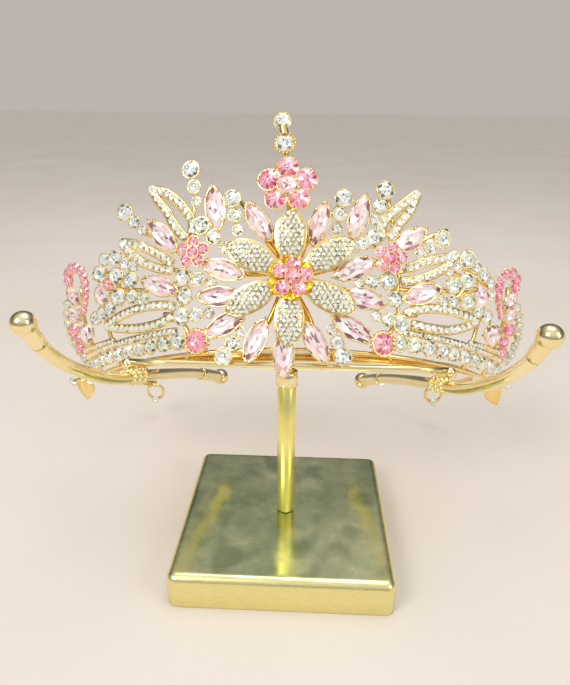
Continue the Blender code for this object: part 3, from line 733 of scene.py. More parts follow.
@dataclass(frozen=True)
class Crest:
    """The curved and leaning surface that the jewels stand on.

    Its foot is a circle in a plane that falls to the back. At the angle a = u / R the foot is at
    (R sin a, R (1 - cos a)), and v rises from it with a flare that grows with sin(a) squared.
    """

    radius: float = 90.0
    tilt: float = math.radians(39.5)
    flare_front: float = math.radians(13.0)
    flare_side: float = math.radians(37.0)
    front: tuple[float, float, float] = (0.0, -2.2, 72.2)
    roll: float = math.radians(1.2)
    step: float = 0.05
    least_slope: float = 0.8
    forward: tuple[float, float, float] = (0.0, -0.94, 0.34)

    def tipped(self, across: Array, back: Array, rise: Array, tilt: float) -> Array:
        """Lay points out on a plane that falls to the back.

        Args:
            across, back, rise: millimetres along the plane and up from it.
            tilt: fall of the plane, in radians.

        Returns:
            Places in metres.
        """
        y = back * math.cos(tilt) + rise * math.sin(tilt)
        z = rise * math.cos(tilt) - back * math.sin(tilt)
        slope = across * math.tan(self.roll)
        return (np.stack([across, y, z + slope], axis=-1) + np.array(self.front)) * MM

    def point(self, u: Array, v: Array, d: Array | float = 0.0) -> Array:
        """Places of crest points, in metres.

        Args:
            u, v, d: crest coordinates in millimetres.

        Returns:
            Places, one row each.
        """
        angle = np.asarray(u, float) / self.radius
        flare = self.flare_front + (self.flare_side - self.flare_front) * np.sin(angle) ** 2
        out = v * np.sin(flare) + d * np.cos(flare)
        rise = v * np.cos(flare) - d * np.sin(flare)
        across = (self.radius + out) * np.sin(angle)
        back = self.radius - (self.radius + out) * np.cos(angle)
        return self.tipped(across, back, rise, self.tilt)

    def outward(self, u: Array, v: Array) -> Array:
        """Directions out of the crest's face."""
        here = self.point(u, v)
        along = unit(self.point(u + self.step, v) - here)
        return unit(np.cross(along, self.point(u, v + self.step) - here))

    def seen(self, u: Array, v: Array, d: Array | float) -> Array:
        """Places that stand d out of the face and are seen, from the front, where (u, v) is.

        The point moves from the face along the line of sight, by d over the cosine between that
        line and the way out, which is held above a least value at the sides.

        Args:
            u, v: crest coordinates in millimetres.
            d: height over the face.

        Returns:
            Places in metres.
        """
        foot = self.point(u, v)
        sight = unit(np.array(EYE) * MM - foot)
        slope = np.maximum(np.sum(sight * self.outward(u, v), axis=-1), self.least_slope)
        return foot + sight * (np.asarray(d, float) * MM / slope)[..., None]

    def places(
        self,
        u: Array,
        v: Array,
        size: Array | float,
        turn: Array | float,
        d: Array | float,
        face: float,
        jitter: Array | None = None,
    ) -> Array:
        """Matrices that stand shapes on the crest: X along u, Y up the crest, Z out of it.

        Args:
            u, v, d: crest coordinates in millimetres.
            size: scale of each shape, in millimetres.
            turn: turn about its own Z, in radians.
            face: how much of a step to the front is added to the way out before it is scaled
                to one, times sin(a) squared, because the settings at the sides are bent forward.
            jitter: small tips of each stone, n by 2, added to the way out.

        Returns:
            n by 4 by 4 matrices, in metres.
        """
        parts = np.broadcast_arrays(*map(np.atleast_1d, (u, v, size, turn, d)))
        u, v, size, turn, d = (np.array(values, float) for values in parts)
        along = unit(self.point(u + self.step, v) - self.point(u, v))
        lean = face * np.sin(u / self.radius) ** 2
        out = self.outward(u, v) + lean[:, None] * np.array(self.forward)
        if jitter is not None:
            out = out + jitter[:, :1] * along + jitter[:, 1:] * np.cross(out, along)
        out = unit(out)
        along = unit(along - np.sum(along * out, axis=-1, keepdims=True) * out)
        up = np.cross(out, along)
        cosine, sine = np.cos(turn)[:, None], np.sin(turn)[:, None]
        matrices = np.zeros((len(u), 4, 4))
        matrices[:, :3, 0] = (along * cosine + up * sine) * size[:, None] * MM
        matrices[:, :3, 1] = (up * cosine - along * sine) * size[:, None] * MM
        matrices[:, :3, 2] = out * size[:, None] * MM
        matrices[:, :3, 3] = self.seen(u, v, d)
        matrices[:, 3, 3] = 1.0
        return matrices

    def wire(
        self,
        route: Array,
        radius: Array | float,
        depth: float,
        per_span: int = 1,
        sides: int = 8,
    ) -> Shape:
        """A round wire along (u, v) points, per_span steps a span, with its middle at one depth."""
        line = smooth_route(np.array(route, float), per_span)
        return rod(self.seen(*line.T, depth), self.outward(*line.T), radius, sides)


CREST = Crest()


# Cut stones and their settings


class Cut(Enum):
    """Outlines of the stones."""

    MARQUISE = "marquise"
    DROP = "drop"


class Slot(Enum):
    """Numbers of the materials on a jewelled piece, after its metal, which is 0."""

    STONE = 1
    SECOND = 2
    THIRD = 3


@dataclass(frozen=True)
class Stones:
    """Templates of stones with a girdle of radius 1 at height 0 and their crown above it.

    table, tip and inner are radii of the table's corners, of the star facets' tips and of the
    small ring in the table that stands for the facets seen through it; star is their painted light
    tone.
    """

    folds: int = 8
    table: float = 0.56
    tip: float = 0.80
    inner: float = 0.24
    crown: float = 0.34
    dimple: float = 0.05
    star: float = 0.30
    tip_share: float = 0.55
    girdle: tuple[float, float] = (0.05, -0.06)
    foot: float = 0.97

    def brilliant(self, slot: int = Slot.STONE.value) -> Shape:
        """A brilliant cut: table, star, kite and girdle facets, closed by a flat foot.

        Args:
            slot: material number.

        Returns:
            The stone, with a tone of painted light on each kind of facet.
        """
        folds = self.folds
        k = np.arange(folds)
        after = (k + 1) % folds
        before = (k - 1) % folds
        even, odd = around(folds), around(folds, 0.5 * math.tau / folds)
        rim = around(2 * folds)
        points = np.concatenate(
            [
                self.ring(even, self.table, self.crown),
                self.ring(odd, self.tip, self.crown * self.tip_share),
                self.ring(rim, 1.0, self.girdle[0]),
                self.ring(rim, self.foot, self.girdle[1]),
                self.ring(odd, self.inner, self.crown - self.dimple),
                self.ring(np.zeros(1), 0.0, self.crown - 0.4 * self.dimple),
            ]
        )
        girdle, foot, pavilion, middle = 2 * folds, 4 * folds, 6 * folds, 7 * folds
        ring = np.arange(2 * folds)
        onward = (ring + 1) % (2 * folds)
        # The first number of each kind is its painted light tone: light for a painted glint, dark for a
        # painted reflection of the dark room.
        facets = [
            (0.70, np.stack([k, folds + k, after], -1)),
            (0.52, np.stack([k, folds + before, girdle + 2 * k, folds + k], -1)),
            (0.36, np.stack([folds + k, girdle + 2 * k, girdle + 2 * k + 1], -1)),
            (0.68, np.stack([folds + k, girdle + 2 * k + 1, girdle + (2 * k + 2) % (2 * folds)], -1)),
            (0.84, np.stack([k, after, pavilion + k], -1)),
            (self.star, np.stack([pavilion + before, k, pavilion + k], -1)),
            (0.62, np.stack([pavilion + before, pavilion + k, np.full(folds, middle)], -1)),
            (0.3, np.stack([girdle + ring, foot + ring, foot + onward, girdle + onward], -1)),
            (0.3, (foot + ring)[None, ::-1]),
        ]
        return self.faceted(points, facets, slot)

    def small(self, sides: int = 8, slot: int = Slot.STONE.value) -> Shape:
        """A small stone: a table cut in wedges and one facet for each side.

        Args:
            sides: of the stone.
            slot: material number.

        Returns:
            The stone.
        """
        k = np.arange(sides)
        after = (k + 1) % sides
        angle = around(sides)
        points = np.concatenate(
            [
                self.ring(angle, 0.60, self.crown + 0.1),
                self.ring(angle, 1.0, 0.0),
                self.ring(np.zeros(1), 0.0, self.crown),
            ]
        )
        # The first number of each kind is its painted light tone, a painted glint or painted shade on
        # that facet.
        facets = [
            (0.74, np.stack([k, after, np.full(sides, 2 * sides)], -1)),
            (0.42, np.stack([sides + k, sides + after, after, k], -1)),
            (0.4, (sides + k)[None, ::-1]),
        ]
        return self.faceted(points, facets, slot)

    @staticmethod
    def faceted(points: Array, facets: list[tuple[float, Array]], slot: int) -> Shape:
        """A shape of flat facets, given with the painted light tone of each kind."""
        shape = Shape.of(points, [block for _, block in facets], slot, -1)
        shape.painted_facet_lights = np.concatenate([np.full(len(block), tone) for tone, block in facets])
        return shape

    @staticmethod
    def ring(angle: Array, radius: float, height: float) -> Array:
        """Points of a circle at a height."""
        level = np.full(len(angle), height)
        return np.stack([radius * np.cos(angle), radius * np.sin(angle), level], -1)


BRILLIANT = Stones()
CHATON = Stones(13, 0.38, 0.72, 0.15, 0.36)
PINK_CUT = {"cut": CHATON, "spread": 0.45}
STAR = Stones(5, 0.62, 0.82, 0.2, 0.34)
NAVETTE = Stones(8, 0.60, 0.84, 0.30, 0.34, 0.06, 0.58)


def outlined(shape: Shape, cut: Cut, length: float, width: float, point_in: float = 0.28) -> Shape:
    """Draw a round template out to another outline, in place.

    A marquise keeps x L/2 and takes y W/2 (1 - p x squared). A drop keeps its round end at -y
    and narrows to +y by the factor 1 - 0.55 t squared, where t runs from 0 to 1 up it. Heights
    are scaled by W/2.

    Args:
        shape: a template of radius 1.
        cut: the outline.
        length, width: full sizes, in the units that the template will be scaled by.
        point_in: p, how much the sides are drawn in towards the points.

    Returns:
        This shape.
    """
    x, y = shape.points[:, 0].copy(), shape.points[:, 1].copy()
    if cut is Cut.MARQUISE:
        shape.points[:, 0] = x * length / 2
        shape.points[:, 1] = y * width / 2 * (1 - point_in * x**2)
    if cut is Cut.DROP:
        t = np.clip((y + 0.2) / 1.2, 0.0, None)
        shape.points[:, 0] = x * width / 2 * (1 - 0.55 * t**2)
        shape.points[:, 1] = y * length / 2
    shape.points[:, 2] *= width / 2
    return shape


@dataclass(frozen=True)
class Settings:
    """Templates of the metal that holds a stone of radius 1."""

    depth: float = 0.36
    lip: float = 1.08
    prong: float = 0.11

    def cup(self, sides: int = 16) -> Shape:
        """A low round cup under the girdle, with a thin lip that folds in over it.

        Args:
            sides: steps round.

        Returns:
            The cup.
        """
        profile = [
            (0.55, -self.depth),
            (0.86, -self.depth * 0.95),
            (self.lip - 0.05, -0.12),
            (self.lip, -0.01),
            (self.lip - 0.01, 0.06),
            (self.lip - 0.06, 0.09),
            (0.94, 0.05),
        ]
        return revolve(profile, sides)

    def prongs(self, count: int, start: float = 0.0, sides: int = 6) -> Shape:
        """Short claws round the stone, each bent in over the girdle.

        Args:
            count: of claws.
            start: angle of the first one, in radians.
            sides: of a claw.

        Returns:
            The claws.
        """
        reach = np.array([1.04, 1.07, 1.05, 0.97, 0.88])
        path = np.stack([reach, 0 * reach, [-0.24, 0.0, 0.13, 0.22, 0.23]], -1)
        thick = self.prong * np.array([0.9, 1.0, 1.05, 1.0, 0.6])
        claw = sweep(path, BACK, thick, thick, sides)
        angle = around(count, start)
        turns = at(np.zeros((count, 3)))
        turns[:, 0, 0] = turns[:, 1, 1] = np.cos(angle)
        turns[:, 0, 1] = -np.sin(angle)
        turns[:, 1, 0] = np.sin(angle)
        return claw.repeated(turns)

    def beads(self, count: int, radius: float, reach: float, height: float) -> Shape:
        """A ring of count beads of a radius, at a reach from the middle and a height."""
        return ball(radius, 7, 5).repeated(at(Stones.ring(around(count), reach, height)))


SETTINGS = Settings()


@dataclass
class Jeweller:
    """Puts stones and settings on the crest, with its own seeded scatter."""

    rng: np.random.Generator = field(default_factory=lambda: np.random.default_rng(SEED))
    strand_thickness: float = 0.7

    def rounds(
        self,
        u: Array,
        v: Array,
        radius: Array | float,
        depth: Array | float = 0.0,
        face: float = 0.45,
        prongs: int = 4,
        slot: int = Slot.STONE.value,
        cut: Stones = BRILLIANT,
        spread: float = 0.40,
    ) -> Shape:
        """Cut stones, each in a cup with claws.

        Args:
            u, v: crest coordinates.
            radius: of each stone.
            depth: of the back of the cups.
            face: turn to the front, as in Crest.places.
            prongs: claws of each setting, or 0.
            slot: material number of the stones.
            cut: the stones' template.
            spread: scatter of the facets' painted light tones.

        Returns:
            All of them in one shape.
        """
        parts = np.broadcast_arrays(*map(np.atleast_1d, (u, v, radius, depth)))
        u, v, radius, depth = (np.array(values, float) for values in parts)
        jitter = self.rng.normal(0.0, 0.05, (len(u), 2))
        turn = self.rng.uniform(0.0, math.tau, len(u))
        places = CREST.places(u, v, radius, turn, depth + SETTINGS.depth * radius, face, jitter)
        stones = cut.brilliant(slot).repeated(places).shaded(self.rng, spread, len(u))
        metal = [SETTINGS.cup()]
        if prongs:
            metal.append(SETTINGS.prongs(prongs))
        return Shape.join([stones, Shape.join(metal).repeated(places)])

    def drops(self, table: Array, face: float = 0.6, slot: int = Slot.STONE.value) -> Shape:
        """Drop-shaped stones with claws.

        Args:
            table: rows of u, v, length, width and the turn of the point from straight up,
                in degrees.
            face: turn to the front.
            slot: material number of the stones.

        Returns:
            All of them in one shape.
        """
        shapes = []
        for u, v, length, width, degrees in table:
            stone = outlined(NAVETTE.brilliant(slot), Cut.DROP, length, width)
            metal = Shape.join([SETTINGS.cup(20), SETTINGS.prongs(5)])
            outlined(metal, Cut.DROP, length, width)
            place = CREST.places(u, v, 1.0, math.radians(degrees), SETTINGS.depth * width / 2, face)
            shapes.append(stone.repeated(place).shaded(self.rng, 0.45))
            shapes.append(metal.repeated(place))
        return Shape.join(shapes)

    def pave(self, places: Array, spread: float = 0.36) -> Shape:
        """Small stones without settings of their own at the given places."""
        return BRILLIANT.small().repeated(places).shaded(self.rng, spread, len(places))

    def strand(self, line: Array, half: float, stone: float, pitch: float, depth: float) -> Shape:
        """A flat metal strand along (u, v) points with one line of small stones in it.

        Args:
            line: n by 2 crest coordinates.
            half: half width of the strand.
            stone: radius of the stones.
            pitch: from one stone to the next.
            depth: of the strand's middle.

        Returns:
            The strand and its stones.
        """
        path = CREST.seen(*line.T, depth)
        metal = sweep(path, CREST.outward(*line.T), half * MM, self.strand_thickness * MM, 10)
        steps = np.linalg.norm(np.diff(path, axis=0), axis=1)
        travel = np.concatenate([[0.0], np.cumsum(steps)]) / MM
        count = max(int(travel[-1] / pitch), 2)
        spots = np.linspace(0.5, count - 0.5, count) * travel[-1] / count
        size = stone * self.rng.uniform(0.94, 1.06, count)
        jitter = self.rng.normal(0.0, 0.1, (count, 2))
        turn = self.rng.uniform(0.0, math.tau, count)
        u, v = (np.interp(spots, travel, values) for values in line.T)
        places = CREST.places(u, v, size, turn, depth + 0.5, 0.3, jitter)
        return Shape.join([metal, self.pave(places)])


def publish(name: str, shape: Shape, materials: list[Material], replaced: list[str]) -> None:
    """Make a finished piece, let it ride, and report it.

    Args:
        name: of the piece.
        shape: its surface.
        materials: in the order of the shape's material numbers.
        replaced: nodes of the solids that it stands for.
    """
    item = shape.to_object(name)
    for material in materials:
        item.data.materials.append(material)
    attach(item, BODY)
    if replaced:
        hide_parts(*replaced)
    LOG.info("%s: %d faces", name, len(shape.counts))


# The tiara's groups


@dataclass
class Marquises:
    """The pointed pale pink stones in their claw settings, and the gold twigs behind them."""

    length: float = 14.2
    width: float = 6.5
    centre: tuple[float, float] = (0.3, 23.6)
    table: tuple = (
        # name, u, v, degrees from +u
        ("top_left", -9.1, 41.6, -58),
        ("top_right", 8.2, 40.9, 256),
        ("upper_left", -19.8, 27.0, -20),
        ("upper_right", 19.4, 27.2, 25),
        ("middle_left", -21.6, 18.4, -4),
        ("middle_right", 22.7, 17.9, -9),
        ("lower_left", -19.8, 9.3, 24),
        ("lower_right", 20.0, 8.1, -26),
        ("bottom_left", -9.9, 3.7, 66),
        ("bottom_right", 8.8, 3.2, 120),
        ("bottom", -1.0, -0.8, 88),
        ("crest_left", -22.0, 47.1, -86),
        ("crest_right", 19.5, 43.8, 256),
        ("wing_left", -38.6, 40.6, -53),
        ("wing_right", 34.5, 38.0, 220),
        ("side_left", -41.2, 24.4, -24),
        ("side_right", 41.6, 22.2, 204),
    )
    inner: int = 11
    stand_off: float = 1.15
    face: float = 0.35
    side_claws: float = math.radians(52)
    twig_start: float = 7.0
    twig_radius: float = 0.85
    twig_depth: float = -0.35

    def build(self, jeweller: Jeweller, finishes: Finishes) -> None:
        """Build the stones as one piece and the twigs as another."""
        rows = np.array([row[1:] for row in self.table], float)
        turn = np.radians(rows[:, 2])
        jitter = jeweller.rng.normal(0.0, 0.03, (len(rows), 2))
        places = CREST.places(*rows[:, :2].T, 1.0, turn, self.stand_off, self.face, jitter)
        stone = outlined(NAVETTE.brilliant(), Cut.MARQUISE, self.length, self.width)
        stones = stone.repeated(places).shaded(jeweller.rng, 0.5, len(rows))
        claws = [SETTINGS.prongs(2), SETTINGS.prongs(4, self.side_claws)]
        metal = Shape.join([SETTINGS.cup(28), *claws])
        outlined(metal, Cut.MARQUISE, self.length, self.width)
        shape = Shape.join([stones, metal.repeated(places)])
        names = ["marquise_" + row[0] for row in self.table]
        publish("marquise_stones", shape, [finishes.gold, finishes.pale], names)
        twigs = self.twigs(rows[: self.inner, :2])
        # The twigs take the gold darkened by painted shade, as they lie behind the stones.
        publish("centre_twigs", twigs, [finishes.gold_in_painted_shade], [])

    def twigs(self, ends: Array) -> Shape:
        """Round twigs that run from under the flower out behind each inner stone.

        Args:
            ends: (u, v) of the stones.

        Returns:
            The twigs.
        """
        centre = np.array(self.centre)
        shapes = []
        for end in ends:
            along = unit(end - centre)
            length = np.linalg.norm(end - centre)
            reach = np.array([self.twig_start, 0.5 * (self.twig_start + length), length + 2.0])
            bend = np.array([[0.0], [0.8], [0.0]]) * np.array([-along[1], along[0]])
            route = centre + reach[:, None] * along + bend
            shapes.append(CREST.wire(route, self.twig_radius, self.twig_depth, per_span=5))
        return Shape.join(shapes)


@dataclass
class Sprays:
    """Stems of three graded clear stones, standing up from the crest or round the flower."""

    radii: tuple[float, float, float] = (2.85, 2.2, 1.75)
    stems: tuple = (
        # name, outer u, outer v, inner u, inner v
        ("stem_inner_left", -17.0, 49.8, -15.5, 39.4),
        ("stem_inner_right", 14.8, 49.6, 13.4, 39.6),
        ("stem_tall_left", -28.6, 60.9, -27.4, 50.0),
        ("stem_tall_right", 26.4, 53.4, 24.3, 43.4),
        ("stem_far_left", -50.0, 51.6, -45.1, 44.1),
        ("stem_far_right", 45.1, 41.0, 38.8, 35.0),
        ("halo_left", -26.4, 42.0, -19.4, 34.0),
        ("halo_left", -33.0, 26.1, -23.8, 23.4),
        ("halo_left", -34.4, 13.3, -24.7, 13.4),
        ("halo_left", -20.5, -0.8, -14.7, 6.6),
        ("halo_right", 24.2, 37.3, 18.8, 34.0),
        ("halo_right", 30.0, 24.6, 20.9, 22.6),
        ("halo_right", 36.1, 11.2, 27.4, 13.0),
        ("halo_right", 17.6, -0.8, 13.8, 7.4),
    )
    singles: tuple = (("halo_left", -32.9, 19.8, 2.8), ("halo_right", 32.9, 19.0, 2.5))

    def build(self, jeweller: Jeweller, finishes: Finishes) -> None:
        """Build each group of sprays as one piece, named as the solids are."""
        for name in dict.fromkeys(row[0] for row in self.stems):
            rows = np.array([row[1:] for row in self.stems if row[0] == name], float)
            outer, inner = rows[:, :2], rows[:, 2:]
            length = np.linalg.norm(inner - outer, axis=1)
            share = 0.5 + 0.25 * (self.radii[0] - self.radii[2]) / length
            middle = outer + (inner - outer) * share[:, None]
            spots = np.concatenate([outer, middle, inner])
            radii = np.repeat(self.radii, len(rows))
            for single, u, v, radius in self.singles:
                if single == name:
                    spots = np.concatenate([spots, [[u, v]]])
                    radii = np.append(radii, radius)
            shapes = [jeweller.rounds(*spots.T, radii)]
            for first, last in zip(outer, inner):
                shapes.append(CREST.wire(np.array([first, last]), 0.7, depth=0.1, per_span=3, sides=6))
            materials = [finishes.gold, finishes.clear]
            publish(name + "_jewels", Shape.join(shapes), materials, [name])


@dataclass
class CentreFlower:
    """Six domed petals paved with small stones, a ragged gold cup and pink stones in it."""

    centre: tuple[float, float] = (0.3, 23.6)
    inner: float = 5.0
    length: float = 17.2
    width: float = 9.4
    angles: tuple = (91, 35, -26, -90, 208, 148)
    depth: float = 2.8
    dome: float = 1.3
    pitch: float = 1.62
    stone: float = 0.88
    cup_radius: float = 6.9
    pink_radius: float = 2.25
    pinks: tuple = (
        # u, v from the centre of the flower
        (0.8, 4.4), (4.4, 1.0), (-3.1, 2.2), (-2.3, -3.1), (2.6, -3.4), (0.6, 0.4),
    )

    def half_width(self, t: Array) -> Array:
        """Half the width at t along a petal: a sine up to the middle, then a blunt end.

        It is W/2 (0.5 + 0.5 sin(pi t)) up to t = 1/2 and W/2 (1 - (2 t - 1)^2.4)^0.7 past it.
        """
        rising = 0.5 + 0.5 * np.sin(math.pi * np.clip(t, 0.0, 0.5))
        blunt = (1 - np.clip(2 * t - 1, 0.0, 1.0) ** 2.4) ** 0.7
        return np.maximum(self.width / 2 * np.where(t < 0.5, rising, blunt), 0.4)

    def surface(self, t: Array, side: Array, turn: float, lift: Array | float) -> Array:
        """Places on a petal, which rises as a low dome D sin(pi t) (1 - side squared).

        Args:
            t: along the petal, from 0 to 1.
            side: across it, from -1 to 1.
            turn: direction of the petal, in radians.
            lift: added depth.

        Returns:
            Places in metres.
        """
        reach = self.inner + self.length * t
        across = side * self.half_width(t)
        u = self.centre[0] + reach * math.cos(turn) - across * math.sin(turn)
        v = self.centre[1] + reach * math.sin(turn) + across * math.cos(turn)
        return CREST.seen(u, v, self.depth + lift + self.dome * np.sin(math.pi * t) * (1 - side**2))

    def shell(self, turn: float, rows: int = 33, columns: int = 32) -> Shape:
        """A petal's metal: a closed skin, thicker at a rounded rim.

        Args:
            turn: direction of the petal, in radians.
            rows, columns: points along the petal and round its section.

        Returns:
            The skin.
        """
        t, angle = np.meshgrid(np.linspace(0.0, 1.0, rows), around(columns), indexing="ij")
        side = np.clip(-1.06 * np.sin(angle), -1.0, 1.0)
        front = np.cos(angle) > 0
        thick = np.where(front, 0.35, -0.4) * np.abs(np.cos(angle)) ** 0.4
        rim = 0.4 * np.exp(-(((np.abs(side) - 0.99) / 0.03) ** 2)) * front
        return Shape.of(self.surface(t, side, turn, thick + rim), tube_faces(rows, columns))

    def paving(self, turn: float, jeweller: Jeweller) -> Shape:
        """Small stones in staggered rows over a petal, with tiny gold beads between them.

        Args:
            turn: direction of the petal, in radians.
            jeweller: who cuts and scatters the stones.

        Returns:
            The stones and the beads.
        """
        step = self.pitch * 0.87 / self.length
        t, number = np.meshgrid(np.arange(0.17, 0.99, step), np.arange(-5, 6), indexing="ij")
        shift = (np.arange(len(t)) % 2 * 0.5)[:, None]
        across = (number + shift) * self.pitch
        stones = self.standing(t, across, turn, self.stone * 0.72, 0.35)
        stones[:, :3, :3] *= (self.stone * jeweller.rng.uniform(0.9, 1.06, len(stones)))[:, None, None]
        beads = self.standing(t + step / 3, across + self.pitch / 2, turn, 0.3, 0.62)
        return Shape.join([jeweller.pave(stones, 0.48), ball(0.24, 6, 4).repeated(beads)])

    def standing(self, t: Array, across: Array, turn: float, margin: float, lift: float) -> Array:
        """Matrices on the petal's own surface at the spots that keep a margin from its rim.

        Args:
            t: along the petal.
            across: from its middle line, in millimetres.
            turn: direction of the petal.
            margin: least distance from the rim, in millimetres.
            lift: over the metal.

        Returns:
            n by 4 by 4 matrices, in metres.
        """
        half = self.half_width(t)
        keep = (np.abs(across) < half - margin) & (t < 0.985)
        t, side = t[keep], (across / half)[keep]
        step = 0.01
        here = self.surface(t, side, turn, lift)
        along = unit(self.surface(t + step, side, turn, lift) - here)
        beside = self.surface(t, side + step, turn, lift) - here
        out = unit(np.cross(along, beside))
        matrices = at(here)
        matrices[:, :3, 0] = along * MM
        matrices[:, :3, 1] = np.cross(out, along) * MM
        matrices[:, :3, 2] = out * MM
        return matrices

    def cup(self, sides: int = 120) -> Shape:
        """The ragged gold cup, a folded dish.

        Its rim waves in and out by 0.06 cos 6a + 0.03 cos 17a and its wall is folded in depth by
        0.35 cos 11a, both growing outward.

        Args:
            sides: steps round.

        Returns:
            The cup.
        """
        angle = around(sides)
        radius = np.array([0.3, 2.5, 4.6, 6.2, 7.2, 7.5, 7.0, 4.0, 0.3])
        depth = np.array([1.1, 1.15, 1.25, 1.7, 2.2, 2.1, 1.5, 0.5, 0.4])
        grow = np.clip((radius[:, None] - 3) / 4, 0, 1)
        wave = 1 + (0.06 * np.cos(6 * angle - math.radians(200)) + 0.03 * np.cos(17 * angle)) * grow
        folds = 0.35 * np.cos(11 * angle) * grow
        reach = radius[:, None] * wave * self.cup_radius / 7.5
        u = self.centre[0] + reach * np.cos(angle)
        v = self.centre[1] + reach * np.sin(angle)
        points = CREST.seen(u, v, self.depth + depth[:, None] + folds)
        ring = np.arange(sides)
        last = (len(radius) - 1) * sides
        faces = [grid_faces(len(radius), sides, True)[:, ::-1], ring[None, :], last + ring[None, ::-1]]
        return Shape.of(points, faces, Slot.SECOND.value)

    def build(self, jeweller: Jeweller, finishes: Finishes) -> None:
        """Build the petals, and the cup with its stones."""
        for number, degrees in enumerate(self.angles, start=1):
            turn = math.radians(degrees)
            shape = Shape.join([self.shell(turn), self.paving(turn, jeweller)])
            materials = [finishes.gold, finishes.pave]
            publish(f"paved_petal_{number}", shape, materials, [f"petal_{number}"])
        spots = np.array(self.pinks) + np.array(self.centre)
        depth = np.append(np.full(5, self.depth + 1.2), self.depth + 1.7)
        stones = jeweller.rounds(*spots.T, self.pink_radius, depth, face=0.0, **PINK_CUT)
        shape = Shape.join([stones, self.cup()])
        materials = [finishes.gold, finishes.pink, finishes.yellow]
        publish("flower_heart_jewels", shape, materials, ["flower_heart"])


@dataclass
class PinkFlowers:
    """The tall flower of five big pink stones and the two small ones."""

    flowers: tuple = (
        # name, u, v, stone radius, reach, first angle
        ("top_flower", -1.2, 53.5, 3.45, 5.6, 90),
        ("pink_flower_left", -29.4, 33.8, 2.0, 3.3, 82),
        ("pink_flower_right", 29.9, 31.9, 2.0, 3.3, 84),
    )
    depth: float = 2.4
    heart_radius: float = 3.3

    def build(self, jeweller: Jeweller, finishes: Finishes) -> None:
        """Build the three flowers."""
        high = self.depth + 0.5
        for name, u, v, radius, reach, start in self.flowers:
            angle = around(5, math.radians(start))
            spots = u + reach * np.cos(angle), v + reach * np.sin(angle)
            outer = jeweller.rounds(*spots, radius, self.depth, face=0.1, prongs=3, **PINK_CUT)
            if name == "top_flower":
                middle = jeweller.rounds(
                    u, v, self.heart_radius, high, face=0.1, prongs=5, slot=Slot.SECOND.value, cut=STAR
                )
            else:
                middle = jeweller.rounds(u, v, radius, high, face=0.1, prongs=5, **PINK_CUT)
            back = CREST.places(u, v, 1.0, 0.0, self.depth, 0.1)
            plate = revolve([(reach, -0.3), (reach + 0.5, -0.1), (reach, 0.4)], 30).repeated(back)
            stalk = revolve([(1.2, -2.8), (1.2, 0.0)], 12).repeated(back)
            materials = [finishes.gold, finishes.pink, finishes.pale]
            shape = Shape.join([outer, middle, plate, stalk])
            publish(name + "_jewels", shape, materials, [name])


@dataclass
class Leaves:
    """Open leaves: two bowed strands of small stones that close in a pointed gold tip."""

    strand: float = 1.7
    stone: float = 1.34
    pitch: float = 2.3
    depth: float = 0.8
    point: float = 1.1
    tip_stone: float = 1.35
    table: tuple = (
        # name, then the outer and the inner strand as u, v from the tip to the root
        (
            "upper_left",
            ((-40.4, 56.7), (-36.8, 54.9), (-33.2, 51.3), (-30.6, 47.2), (-29.0, 43.4), (-29.2, 39.6)),
            (
                (-40.4, 56.7), (-39.3, 53.4), (-38.0, 50.8), (-36.4, 48.0), (-35.1, 44.7),
                (-33.0, 40.8), (-31.0, 38.4),
            ),
        ),
        (
            "upper_right",
            ((35.4, 53.8), (32.0, 49.8), (28.0, 45.4), (26.2, 41.4), (27.2, 37.6)),
            ((35.4, 53.8), (34.0, 48.0), (31.0, 42.4), (28.8, 37.6)),
        ),
        (
            "middle_left",
            ((-52.6, 41.8), (-47.3, 39.8), (-40.8, 35.1), (-35.9, 30.8)),
            ((-52.6, 41.8), (-50.6, 38.0), (-46.7, 33.9), (-41.3, 30.5), (-36.2, 28.8)),
        ),
        (
            "middle_right",
            ((50.4, 37.2), (48.0, 35.6), (41.9, 32.9), (35.2, 29.0)),
            ((50.4, 37.2), (48.5, 33.1), (44.6, 29.5), (39.6, 26.5), (34.2, 24.8)),
        ),
        (
            "lower_left",
            ((-66.4, 16.1), (-57.8, 17.9), (-49.0, 18.6), (-39.6, 17.8), (-36.4, 16.6)),
            ((-66.4, 16.1), (-60.7, 14.0), (-52.0, 12.1), (-43.5, 12.1), (-37.6, 13.6)),
        ),
        (
            "lower_right",
            ((64.4, 17.9), (60.5, 18.6), (53.8, 18.7), (47.5, 18.4), (40.6, 16.8), (36.6, 14.6)),
            ((64.4, 17.9), (60.0, 14.8), (53.9, 12.4), (46.0, 11.6), (39.4, 11.8)),
        ),
    )

    def build(self, jeweller: Jeweller, finishes: Finishes) -> None:
        """Build each leaf as one piece."""
        materials = [finishes.gold, finishes.pave]
        size = self.strand, self.stone, self.pitch, self.depth
        for name, outer, inner in self.table:
            lines = [smooth_route(np.array(knots), 8) for knots in (outer, inner)]
            shapes = [jeweller.strand(line, *size) for line in lines]
            tip = lines[0][0]
            along = unit(tip - 0.5 * (lines[0][12] + lines[1][12]))
            reach = np.linspace(-1.5, self.point, 8)
            line = tip + reach[:, None] * along
            width = np.interp(reach, (-1.5, 0.0, self.point), (1.0, 1.6, 0.15)) * MM
            path = CREST.seen(*line.T, self.depth)
            shapes.append(sweep(path, CREST.outward(*line.T), width, width * 0.5, 10))
            spot = tip - 0.2 * along
            shapes.append(jeweller.rounds(*spot, self.tip_stone, self.depth - 0.1, face=0.5, prongs=0))
            shape = Shape.join(shapes)
            publish(f"leaf_{name}_jewels", shape, materials, ["leaf_" + name])


